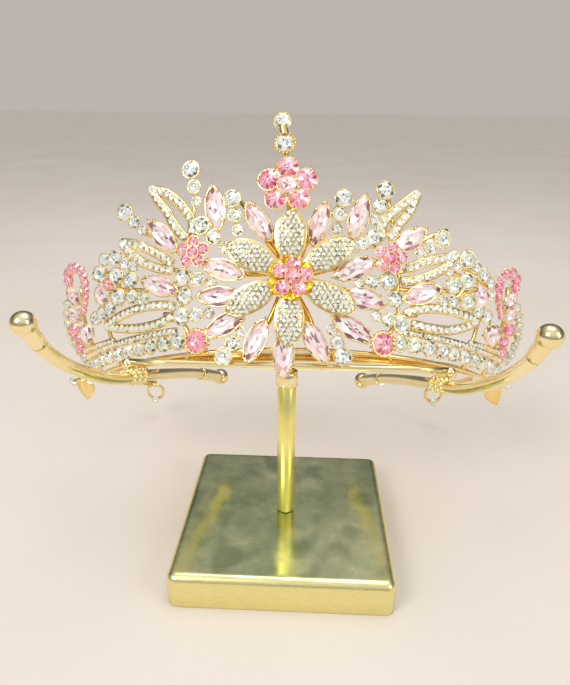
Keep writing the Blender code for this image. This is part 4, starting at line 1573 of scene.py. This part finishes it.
@dataclass
class Rows:
    """The graded row along each side of the crest's foot, with its thin line of stones above."""

    start: float = 36.4
    pitch: float = 5.55
    count: int = 10
    height: float = 5.2
    line_height: float = 8.9
    radii: tuple[float, float] = (2.62, 2.4)
    far_line: tuple[float, float] = (10.2, 11.6)
    # half width, stone, pitch and depth of each strand
    near_strand: tuple = (1.25, 1.05, 1.9, 0.6)
    far_strand: tuple = (1.2, 1.0, 1.85, 0.5)
    wire_radius: float = 0.9

    def build(self, jeweller: Jeweller, finishes: Finishes) -> None:
        """Build both sides."""
        materials = [finishes.gold, finishes.clear]
        for side, sign in SIDES:
            u = sign * (self.start + self.pitch * np.arange(self.count))
            radius = np.linspace(*self.radii, self.count)
            stones = jeweller.rounds(u, self.height, radius, face=0.75)
            line = np.stack([np.linspace(u[0], u[-1], 40), np.full(40, self.line_height)], -1)
            thin = jeweller.strand(line, *self.near_strand)
            far = np.stack([np.linspace(u[5], u[-1], 20), np.linspace(*self.far_line, 20)], -1)
            second = jeweller.strand(far, *self.far_strand)
            foot = np.stack([line[::5, 0], np.full(8, self.height)], -1)
            low = CREST.wire(foot, self.wire_radius, depth=0.1, per_span=2, sides=6)
            shape = Shape.join([stones, thin, second, low])
            publish(f"row_{side}_jewels", shape, materials, ["row_" + side])


@dataclass
class Chatons:
    """The two big pink stones in beaded claws, and the finial's two clear stones."""

    stones: tuple = (("chaton_left", -29.6, 4.6), ("chaton_right", 30.6, 4.3))
    radius: float = 3.8
    back: float = -0.3
    facing: float = 2.4
    lower: tuple[float, float] = (-2.2, 67.2)
    top: tuple[float, float] = (-3.0, 74.5)
    lower_radius: float = 2.8
    top_radius: float = 2.75
    neck: tuple = ((-2.3, 69.8), (-2.6, 71.4), (-2.8, 73.0))

    def build(self, jeweller: Jeweller, finishes: Finishes) -> None:
        """Build the four settings."""
        materials = [finishes.gold, finishes.pink, finishes.yellow]
        lift = self.back + SETTINGS.depth * self.radius
        for name, u, v in self.stones:
            stone = jeweller.rounds(
                u, v, self.radius, self.back, self.facing, prongs=0, cut=CHATON, spread=0.48
            )
            place = CREST.places(u, v, self.radius, 0.0, lift, self.facing)
            beads = self.beads((0.1, 1.08, 0.06), (0.1, 1.08, -0.18))
            beads.slots += Slot.SECOND.value
            shape = Shape.join([stone, beads.repeated(place)])
            publish(name + "_jewel", shape, materials, [name])
        clear = [finishes.gold, finishes.clear]
        lower = jeweller.rounds(*self.lower, self.lower_radius, face=0.0, prongs=0)
        place = CREST.places(*self.lower, 1.0, 0.0, 1.0, 0.0)
        beads = self.beads((0.48, 3.3, 0.1), (0.44, 3.2, -0.7))
        shape = Shape.join([lower, beads.repeated(place)])
        publish("finial_lower_jewel", shape, clear, ["finial_lower"])
        top = jeweller.rounds(*self.top, self.top_radius, face=0.0, prongs=6)
        neck = CREST.wire(np.array(self.neck), 1.4, depth=0.9, per_span=4, sides=12)
        publish("finial_top_jewel", Shape.join([top, neck]), clear, ["finial_top"])

    @staticmethod
    def beads(*rings: tuple[float, float, float]) -> Shape:
        """Rings of 18 beads, each given by the bead's radius, the ring's radius and its height."""
        return Shape.join([SETTINGS.beads(18, *ring) for ring in rings])


@dataclass(frozen=True)
class SideJewels:
    """The stones of one side, as (u, v, radius) or as drops."""

    name: str
    hook: tuple
    clear: tuple
    pink: tuple
    pale_drops: tuple
    chain: tuple


LEFT_JEWELS = SideJewels(
    "left",
    (
        # u, v along the cane from its crook down
        (-79.0, 37.4), (-78.0, 39.8), (-75.2, 40.6), (-72.4, 39.4), (-71.2, 36.8), (-71.4, 33.6),
        (-72.4, 30.4), (-74.2, 27.4), (-76.4, 24.8),
    ),
    (
        (-63.6, 34.2, 2.5), (-56.3, 37.6, 2.3), (-52.8, 34.9, 1.9), (-49.9, 33.1, 1.7),
        (-57.0, 31.6, 2.6), (-51.7, 28.7, 2.4), (-57.8, 24.3, 2.6), (-52.0, 23.1, 2.1),
        (-47.9, 21.0, 1.9), (-62.6, 21.6, 2.1), (-66.6, 20.9, 2.1), (-70.8, 20.2, 2.1),
        (-60.4, 38.4, 1.9),
    ),
    ((-60.8, 30.0, 1.8), (-87.6, 20.6, 2.3), (-88.4, 13.6, 2.0), (-86.8, 17.0, 1.9)),
    (
        # u, v, length, width, degrees
        (-64.6, 27.6, 8.0, 6.0, -20), (-80.0, 31.8, 7.6, 4.6, 10), (-82.6, 25.6, 7.2, 4.8, 24),
        (-79.6, 16.4, 7.4, 6.4, 160),
    ),
    (
        (-85.0, 30.4), (-88.0, 27.6), (-90.2, 24.4), (-91.6, 20.6), (-91.8, 16.6), (-90.6, 12.8),
        (-88.2, 9.6),
    ),
)
RIGHT_JEWELS = SideJewels(
    "right",
    (
        (76.6, 34.4), (75.6, 37.0), (72.8, 38.0), (70.4, 36.6), (69.4, 33.8), (69.8, 30.8),
        (71.0, 28.2), (72.8, 25.8), (75.2, 23.2),
    ),
    (
        (54.7, 36.7, 2.5), (58.4, 35.1, 1.8), (62.0, 33.5, 2.1), (51.4, 33.8, 1.7),
        (49.1, 31.3, 1.6), (52.0, 27.2, 2.5), (56.4, 29.7, 2.5), (65.2, 31.8, 1.8),
        (49.4, 20.9, 1.7), (52.8, 22.0, 1.8), (58.8, 23.1, 2.4), (63.8, 21.6, 2.1),
        (68.4, 20.8, 2.1), (66.8, 28.6, 1.7),
    ),
    ((82.6, 20.2, 2.2), (82.4, 15.4, 1.9), (84.4, 12.0, 1.8)),
    (
        (63.0, 26.6, 8.2, 6.4, 24), (77.0, 29.8, 7.4, 4.4, -12), (79.6, 25.2, 6.8, 4.6, -24),
        (74.6, 15.6, 7.8, 6.8, 200),
    ),
    (
        (81.6, 28.4), (85.0, 26.0), (88.0, 23.4), (90.4, 20.4), (91.8, 17.0), (92.0, 13.6),
        (90.6, 10.4),
    ),
)


@dataclass
class Sides:
    """The pink cane, the cluster of clear stones and the chain of stones at each side."""

    chain_radius: float = 1.7
    cane_pitch: float = 2.55
    cane_radii: tuple[float, float] = (2.1, 1.45)
    swell: float = 1.12
    cane_wire: float = 1.1
    wire_radius: float = 0.9
    struts: tuple = ((0, 4, 6, 9), (1, 2, 3), (6, 7, 8), (9, 10, 11))

    def build(self, jeweller: Jeweller, finishes: Finishes) -> None:
        """Build both sides."""
        second, third = Slot.SECOND.value, Slot.THIRD.value
        cane_materials = [finishes.gold, finishes.pink]
        materials = [finishes.gold, finishes.clear, finishes.pink, finishes.pale]
        for jewels in (LEFT_JEWELS, RIGHT_JEWELS):
            name = jewels.name
            route = np.array(jewels.hook)
            fine = spaced(smooth_route(route, 6), self.cane_pitch)
            size = np.linspace(*self.cane_radii, len(fine))
            canes = jeweller.rounds(*fine.T, size, depth=0.3, face=1.2, prongs=3, **PINK_CUT)
            cane = CREST.wire(route, self.cane_wire, depth=0.1, per_span=3)
            shape = Shape.join([canes, cane])
            publish(f"hook_{name}_jewels", shape, cane_materials, ["hook_" + name])
            chain = smooth_route(np.array(jewels.chain), 2)[::2]
            clear, clear_radii = self.swollen(jewels.clear)
            pink, pink_radii = self.swollen(jewels.pink)
            shapes = [
                jeweller.rounds(*clear.T, clear_radii, face=1.8),
                jeweller.rounds(*chain.T, self.chain_radius, depth=0.5, face=1.8),
                jeweller.rounds(
                    *pink.T, pink_radii, depth=0.9, face=2.6, slot=second, cut=CHATON, spread=0.35
                ),
                jeweller.drops(np.array(jewels.pale_drops), face=2.6, slot=third),
                CREST.wire(np.array(jewels.chain), self.wire_radius, depth=0.35, per_span=3),
            ]
            for strut in self.struts:
                shapes.append(CREST.wire(clear[list(strut)], self.wire_radius, depth=-0.1, per_span=4))
            shape = Shape.join(shapes)
            publish(f"cluster_{name}_jewels", shape, materials, ["cluster_" + name])

    def swollen(self, stones: tuple) -> tuple[Array, Array]:
        """The (u, v) of some stones, and their radii made a little bigger."""
        rows = np.array(stones)
        return rows[:, :2], self.swell * rows[:, 2]


@dataclass
class Hoop:
    """The soldered frame behind the jewels: the hoop a head goes into, its rings and its ribs."""

    half_width: float = 75.0
    depth: float = 66.0
    set_back: float = 6.2
    drop: float = 0.6
    tilt: float = math.radians(31.5)
    span: float = math.radians(117.0)
    strip: tuple[float, float] = (1.25, 0.4)
    ring_radius: float = 3.8
    middle: tuple[float, float] = (0.3, 23.6)
    wire_radius: float = 0.7
    rib_radius: float = 0.75
    rib_depth: float = -0.7
    foot_height: float = 0.8
    foot_reach: float = 88.9
    spine: tuple = ((0.0, -1.0), (0.3, 23.6), (-1.0, 52.0), (-2.0, 67.0), (-2.3, 71.0))
    ribs: tuple = (
        (
            (31.0, 0.8), (32.0, 7.0), (34.4, 13.3), (32.9, 19.8), (33.0, 26.0), (30.0, 34.0),
            (29.6, 41.0), (27.2, 51.0),
        ),
        ((29.8, 37.0), (22.4, 45.4)),
        ((30.4, 31.0), (38.4, 38.8), (46.0, 44.0)),
        ((30.6, 26.6), (37.6, 29.8)),
        ((30.8, 22.0), (44.0, 23.4), (62.0, 27.0), (65.4, 17.0), (65.0, 0.8)),
        ((31.0, 13.0), (40.6, 15.0)),
        ((78.0, 0.8), (78.0, 20.0), (73.4, 33.0)),
    )
    bridges: tuple = (9.0, 34.0, 58.0, 80.0)
    leaf_half: float = 3.2
    facing: tuple[float, float, float] = (0.0, -0.93, 0.37)
    end_leaves: tuple = (
        # x, y, z of the base and of the point of a leaf, and of the stone beside it
        ((-78.6, 30.0, 44.0), (-80.4, 34.0, 34.6), (-84.6, 34.0, 42.4)),
        ((75.4, 30.0, 47.0), (79.6, 34.0, 37.4), (82.4, 34.0, 46.4)),
    )

    def point(self, angle: Array, rise: Array | float = 0.0) -> Array:
        """Places on the hoop's ellipse, by the angle from the middle of its front."""
        across = self.half_width * np.sin(angle)
        back = self.set_back + self.depth - self.depth * np.cos(angle)
        return CREST.tipped(across, back, rise - self.drop + 0 * across, self.tilt)

    def band(self) -> list[Shape]:
        """The hoop's strip in gold darkened by painted shade, with a brighter gold wire along each edge
        and a milled line between them.
        """
        angle = np.linspace(-self.span, self.span, 161)
        path = self.point(angle)
        up = unit(self.point(angle, 1.0) - path)
        half, thin = self.strip
        shapes = [sweep(path, up, thin * MM, half * MM, 10)]
        for edge in (-1.1, 1.1):
            shapes.append(rod(self.point(angle, edge), up, 0.36, 8))
        # The strip takes the gold darkened by painted shade, so it reads darker between its edge wires.
        shapes[0].slots += 1
        beads = at(self.point(np.linspace(-self.span, self.span, 260)), MM)
        shapes.append(ball(0.52, 6, 5).repeated(beads))
        return shapes

    def build(self, jeweller: Jeweller, finishes: Finishes) -> None:
        """Build the frame as one piece, and the small leaves under its ends as another."""
        pieces = self.band()
        edge = np.linspace(-self.foot_reach, self.foot_reach, 61)
        foot = np.stack([edge, np.full(61, self.foot_height)], -1)
        pieces.append(CREST.wire(foot, self.wire_radius, self.rib_depth))
        pieces.append(CREST.wire(np.array(self.spine), self.wire_radius, self.rib_depth, 4))
        for side in (-1.0, 1.0):
            for route in self.ribs:
                rib = np.array(route) * np.array([side, 1.0])
                pieces.append(CREST.wire(rib, self.rib_radius, self.rib_depth, 4))
            bow = np.array([(side * 12.0, self.foot_height), self.middle, (side * 14.6, 48.6)])
            pieces.append(CREST.wire(bow, self.wire_radius, -0.75, 4))
            for place in self.bridges:
                start = CREST.point(np.array(side * place), self.foot_height, -1.05)
                end = self.point(np.array(side * place / 72.0), 0.2)
                line = start + (end - start) * np.linspace(0, 1, 5)[:, None]
                pieces.append(rod(line, UP, self.wire_radius, 8))
            turn = around(28)
            centre = self.point(np.array(side * self.span), -self.ring_radius)
            wheel = np.stack([np.cos(turn), 0 * turn, np.sin(turn)], -1)
            circle = centre + self.ring_radius * MM * wheel
            pieces.append(ring_of_wire(circle, BACK, self.wire_radius * MM, 8))
            angle = side * jeweller.rng.uniform(0.74, 0.92, 18)
            spots = self.point(angle, jeweller.rng.uniform(-3.2, -0.9, 18))
            pieces.append(ball(1.15, 10, 7).repeated(at(spots, MM)))
        shape = Shape.join(pieces)
        publish("tiara_hoop", shape, [finishes.gold, finishes.gold_in_painted_shade], ["tiara_frame"])
        self.hanging_leaves(finishes)

    def hanging_leaves(self, finishes: Finishes) -> None:
        """A small pointed leaf and a stone under each end of the crest, and a stone on each ring."""
        shapes = []
        facing = np.array(self.facing)
        _, forward, rise = self.facing
        tilted = np.array([[1.0, 0, 0], [0, rise, forward], [0, -forward, rise]])
        t = np.linspace(0.0, 1.0, 14)
        for (base, point, stone), side in zip(self.end_leaves, (-1.0, 1.0)):
            start, end, jewel = (np.array(spot) * MM for spot in (base, point, stone))
            line = start + (end - start) * t[:, None]
            width = self.leaf_half * MM * np.sin(math.pi * (0.15 + 0.84 * t) ** 0.7)
            shapes.append(sweep(line, facing, width, 0.5 * MM, 14))
            shapes.append(rod(line + facing * 0.5 * MM, facing, 0.35, 8))
            across = unit(np.cross(facing, end - start)) * width[1:-1, None]
            rim = np.concatenate([line[1:-1] + across, line[1:-1] - across]) + facing * 0.3 * MM
            shapes.append(ball(0.5, 8, 6).repeated(at(rim, MM)))
            link = np.stack([start, 0.5 * (start + jewel) + [0, 0, MM], jewel])
            shapes.append(rod(link, facing, self.wire_radius, 8))
            ring = self.point(np.array(side * self.span), -2.0 * self.ring_radius)
            matrices = at(np.stack([jewel, ring]), np.array([1.9, 1.5]) * MM)
            matrices[:, :3, :3] = matrices[:, :3, :3] @ tilted
            shapes.append(BRILLIANT.brilliant().repeated(matrices))
            shapes.append(SETTINGS.cup().repeated(matrices))
        publish("end_leaves", Shape.join(shapes), [finishes.gold, finishes.clear], [])


# The stand


@dataclass
class Stand:
    """The plain brass stand: slab, post, collar, crossbar and two curved arms with balls."""

    arm_radius: float = 1.95
    ball_radius: float = 3.35
    route: tuple = (
        # x, y, z of the right arm, from its outer ball to its inner one
        (64.5, -36.0, 92.5), (62.0, -32.0, 83.5), (58.0, -24.5, 75.0), (53.0, -11.5, 66.0),
        (48.5, 1.0, 61.0), (43.0, 15.0, 55.5), (36.5, 32.0, 48.0), (29.0, 46.5, 40.0),
    )
    bead_rings: tuple[int, ...] = (37, 39, 41)
    bead_radius: float = 0.9
    reach: float = 51.5
    bar_height: float = 66.6
    bar_radius: float = 1.05
    knuckle_radius: float = 1.9
    knuckle_drop: float = 0.8
    side: float = 70.0
    height: float = 11.5
    corner: float = 3.2
    bevel: float = 2.7
    gap: float = 0.3
    post_radius: float = 2.95
    chamfer: float = 0.12
    collar: tuple = (
        # radius, height up the outside and down into the bore
        (0.05, 60.0), (3.35, 60.0), (3.5, 60.15), (3.5, 64.7), (3.2, 65.0), (2.3, 65.0),
        (2.2, 64.9), (2.2, 62.0), (0.05, 62.0),
    )

    def slab(self, per_corner: int = 12, bevel_steps: int = 8) -> Shape:
        """The square slab: a rounded square whose outline is drawn in along a quarter circle.

        Args:
            per_corner: points round each corner.
            bevel_steps: rings round the top edge.

        Returns:
            The slab, closed by flat faces.
        """
        corners = around(4, math.pi / 4)
        fan = np.linspace(-1, 1, per_corner) * math.pi / 4
        turn = (corners[:, None] + fan).ravel()
        centre = np.repeat(corners, per_corner)
        flat = self.side / 2 - self.corner
        middle = np.stack([np.sign(np.cos(centre)), np.sign(np.sin(centre))], -1) * flat
        quarter = np.linspace(0.0, math.pi / 2, bevel_steps)
        drawn = self.bevel * (1 - np.cos(quarter))
        rise = self.height - self.bevel + self.bevel * np.sin(quarter)
        inset = np.concatenate([[0.5, 0.12, 0.0, 0.0], drawn, [self.bevel + 0.15]])
        level = np.concatenate([[0.0, 0.12, 0.5, self.height - self.bevel - 0.15], rise, [self.height]])
        radius = self.corner - np.minimum(inset, self.corner - 0.3)
        shift = (inset + radius - self.corner)[:, None, None]
        round_off = np.stack([np.cos(turn), np.sin(turn)], -1)
        xy = middle - shift * np.sign(middle) + radius[:, None, None] * round_off
        z = np.broadcast_to(level[:, None, None], (*xy.shape[:2], 1))
        return Shape.of(np.concatenate([xy, z], -1) * MM, tube_faces(len(level), xy.shape[1]), 0, 2)

    def arm(self, side: float) -> Shape:
        """One arm: a round tube on a smooth route, with a ball and a sleeve at each end and beads.

        Args:
            side: -1 for the left arm, 1 for the right one.

        Returns:
            The arm.
        """
        thick = self.arm_radius * MM
        knots = np.array(self.route) * np.array([side, 1.0, 1.0]) * MM
        path = smooth_route(knots, 10)
        up = np.array([side, 0.0, 0.2])
        shapes = [rod(path, up, self.arm_radius, 28)]
        sphere = ball(self.ball_radius * MM, 40, 24, 0.94)
        sleeve = thick * (1.0 + 0.2 * np.sin(np.linspace(0.15, 1.0, 9) * math.pi) ** 0.3)
        for end, near in ((path[0], path[:9]), (path[-1], path[-9:])):
            shapes.append(sphere.repeated(at(end)))
            shapes.append(sweep(near, up, sleeve, sleeve, 28))
        for index in self.bead_rings:
            across = unit(np.cross(up, path[index + 1] - path[index]))
            over = unit(np.cross(path[index + 1] - path[index], across))
            angle = around(9, 0.3 * index)[:, None]
            spots = path[index] + (np.cos(angle) * over + np.sin(angle) * across) * thick
            shapes.append(ball(self.bead_radius * MM, 10, 7).repeated(at(spots)))
        return Shape.join(shapes)

    def crossbar(self) -> Shape:
        """The thin rod, its neck in the collar and a knuckle at each end."""
        x = np.linspace(-self.reach, self.reach, 9) * MM
        path = np.stack([x, 0 * x, np.full(9, self.bar_height * MM)], -1)
        bar = rod(path, UP, self.bar_radius, 20)
        neck = revolve([(1.1 * MM, 62.3 * MM), (1.1 * MM, self.bar_height * MM)], 20)
        low = self.bar_height - self.knuckle_drop
        spots = np.array([(side * self.reach, 0.0, low) for side in (-1, 1)]) * MM
        knuckles = ball(self.knuckle_radius * MM, 24, 14).repeated(at(spots))
        return Shape.join([bar, neck, knuckles])

    def turned(self, name: str, profile: list, finish: Material, node: str) -> None:
        """A part turned about the post's axis from a profile in millimetres."""
        shape = revolve(profile, 48)
        shape.points *= MM
        publish(name, shape, [finish], [node])

    def build(self) -> None:
        """Build every part of the stand, each for its own solid."""
        brass, drawn, slab = BRASS.make(), POST_BRASS.make(), SlabBrass().make()
        publish("polished_slab", self.slab(), [slab], ["stand_base"])
        low, high = self.height + self.gap, self.collar[0][1] - self.gap
        full = self.post_radius
        edge = full - self.chamfer
        post = [(edge, low), (full, low + self.chamfer), (full, high - self.chamfer), (edge, high)]
        self.turned("drawn_post", post, drawn, "stand_post")
        self.turned("open_collar", list(self.collar), brass, "stand_collar")
        publish("crossbar_rod", self.crossbar(), [brass], ["stand_crossbar"])
        for name, side in SIDES:
            publish("curved_arm_" + name, self.arm(side), [brass], ["stand_arm_" + name])


# Studio


@dataclass(frozen=True)
class Panel:
    """A soft rectangular light that faces the tiara; its place and size are in metres."""

    name: str
    place: tuple[float, float, float]
    size: tuple[float, float]
    watts: float
    colour: Colour

    def hang(self) -> None:
        """Make the light."""
        data = bpy.data.lights.new(self.name, "AREA")
        data.shape = "RECTANGLE"
        data.size, data.size_y = self.size
        data.energy = self.watts
        data.color = self.colour
        item = added(self.name, data)
        item.location = self.place
        item.rotation_euler = (Vector(AIM) - Vector(self.place)).to_track_quat("-Z", "Y").to_euler()


@dataclass(frozen=True)
class Studio:
    """A plain pale floor, soft light and the camera."""

    pitch: float = math.radians(22.0)
    yaw: float = math.radians(-2.31)
    roll: float = math.radians(0.63)
    focal: float = 585.6
    frame_height: int = 685
    floor_side: float = 12.0
    floor_light: Colour = (0.86, 0.79, 0.72)
    floor_dark: Colour = (0.81, 0.73, 0.65)
    sky: Colour = (0.50, 0.46, 0.42)
    haze: Colour = (0.60, 0.58, 0.56)
    blue: float = 1.02
    back: tuple = ((0.0, 0.24), (0.42, 0.09), (0.8, 0.5), (1.0, 0.95))
    front: tuple = ((0.0, 0.26), (0.25, 0.46), (0.5, 0.66), (1.0, 0.95))
    panels: tuple[Panel, ...] = (
        Panel("key", (-0.55, -0.6, 0.75), (0.4, 0.4), 3.9, (1.0, 0.98, 0.95)),
        Panel("fill", (0.7, -0.45, 0.5), (0.3, 0.5), 1.6, (0.96, 0.98, 1.0)),
        Panel("top", (0.1, 0.15, 0.9), (0.6, 0.4), 1.6, (1.0, 1.0, 1.0)),
    )

    def camera(self) -> None:
        """Stand the camera at the photograph's place, with a vertical sensor."""
        data = bpy.data.cameras.new("view")
        data.sensor_fit = "VERTICAL"
        data.sensor_height = 36.0
        data.lens = self.focal / self.frame_height * data.sensor_height
        data.clip_start = 0.01
        item = added("view", data)
        level_way = Vector((math.sin(self.yaw), math.cos(self.yaw), 0.0))
        forward = level_way * math.cos(self.pitch) - Vector((0.0, 0.0, math.sin(self.pitch)))
        right = Vector((math.cos(self.yaw), -math.sin(self.yaw), 0.0))
        up = right.cross(forward)
        level = right * math.cos(self.roll) + up * math.sin(self.roll)
        upright = up * math.cos(self.roll) - right * math.sin(self.roll)
        turned = Matrix((level, upright, -forward)).transposed().to_4x4()
        item.matrix_world = Matrix.Translation(Vector(EYE) * MM) @ turned
        bpy.context.scene.camera = item

    def floor(self) -> None:
        """A wide pale floor."""
        angle = around(4, -0.75 * math.pi)
        corners = np.sign(np.stack([np.cos(angle), np.sin(angle), 0 * angle], -1))
        floor = Shape.of(self.floor_side * corners, [np.arange(4)[None, :]], 0, -1)
        item = floor.to_object("floor")
        graph = Graph("pale_floor")
        mottle = graph.noise(6.0, 3.0)
        colour = graph.ramp(mottle, ((0.3, self.floor_dark), (0.7, self.floor_light)))
        item.data.materials.append(graph.painted(colour, Roughness=0.7))

    def greys(self, stops: tuple) -> tuple:
        """Ramp stops of slightly blue greys, from (place, grey)."""
        return tuple((place, (grey, grey, grey * self.blue)) for place, grey in stops)

    def world(self) -> None:
        """A soft room: bright overhead and in front, dim behind, and pale where it is looked at."""
        world = bpy.data.worlds.new("room")
        bpy.context.scene.world = world
        world.use_nodes = True
        nodes = Nodes(world.node_tree)
        split = nodes.node("ShaderNodeSeparateXYZ")
        nodes.join(nodes.node("ShaderNodeTexCoord").outputs["Generated"], split.inputs[0])
        back = nodes.ramp(split.outputs["Z"], self.greys(self.back))
        front = nodes.ramp(split.outputs["Z"], self.greys(self.front))
        room = nodes.mix(nodes.span(split.outputs["Y"], (0.25, -0.75), (0.0, 1.0)), back, front)
        path = nodes.node("ShaderNodeLightPath")
        seen = nodes.mix(path.outputs["Is Camera Ray"], room, nodes.plain(self.sky))
        spread = nodes.mix(path.outputs["Is Diffuse Ray"], seen, nodes.plain(self.haze))
        background = nodes.tree.nodes["Background"]
        nodes.join(spread, background.inputs["Color"])
        background.inputs["Strength"].default_value = 1.0

    def build(self) -> None:
        """Set up the studio."""
        bpy.context.scene.view_settings.view_transform = "Standard"
        self.camera()
        self.floor()
        self.world()
        for panel in self.panels:
            panel.hang()


def main() -> None:
    """Build the studio, the stand and the tiara."""
    logging.basicConfig(level=logging.INFO, format="%(message)s")
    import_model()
    Studio().build()
    jeweller = Jeweller()
    finishes = Finishes.mixed()
    Stand().build()
    groups = (Hoop, CentreFlower, PinkFlowers, Marquises, Sprays, Leaves, Rows, Chatons, Sides)
    for group in groups:
        group().build(jeweller, finishes)


if __name__ == "__main__":
    main()
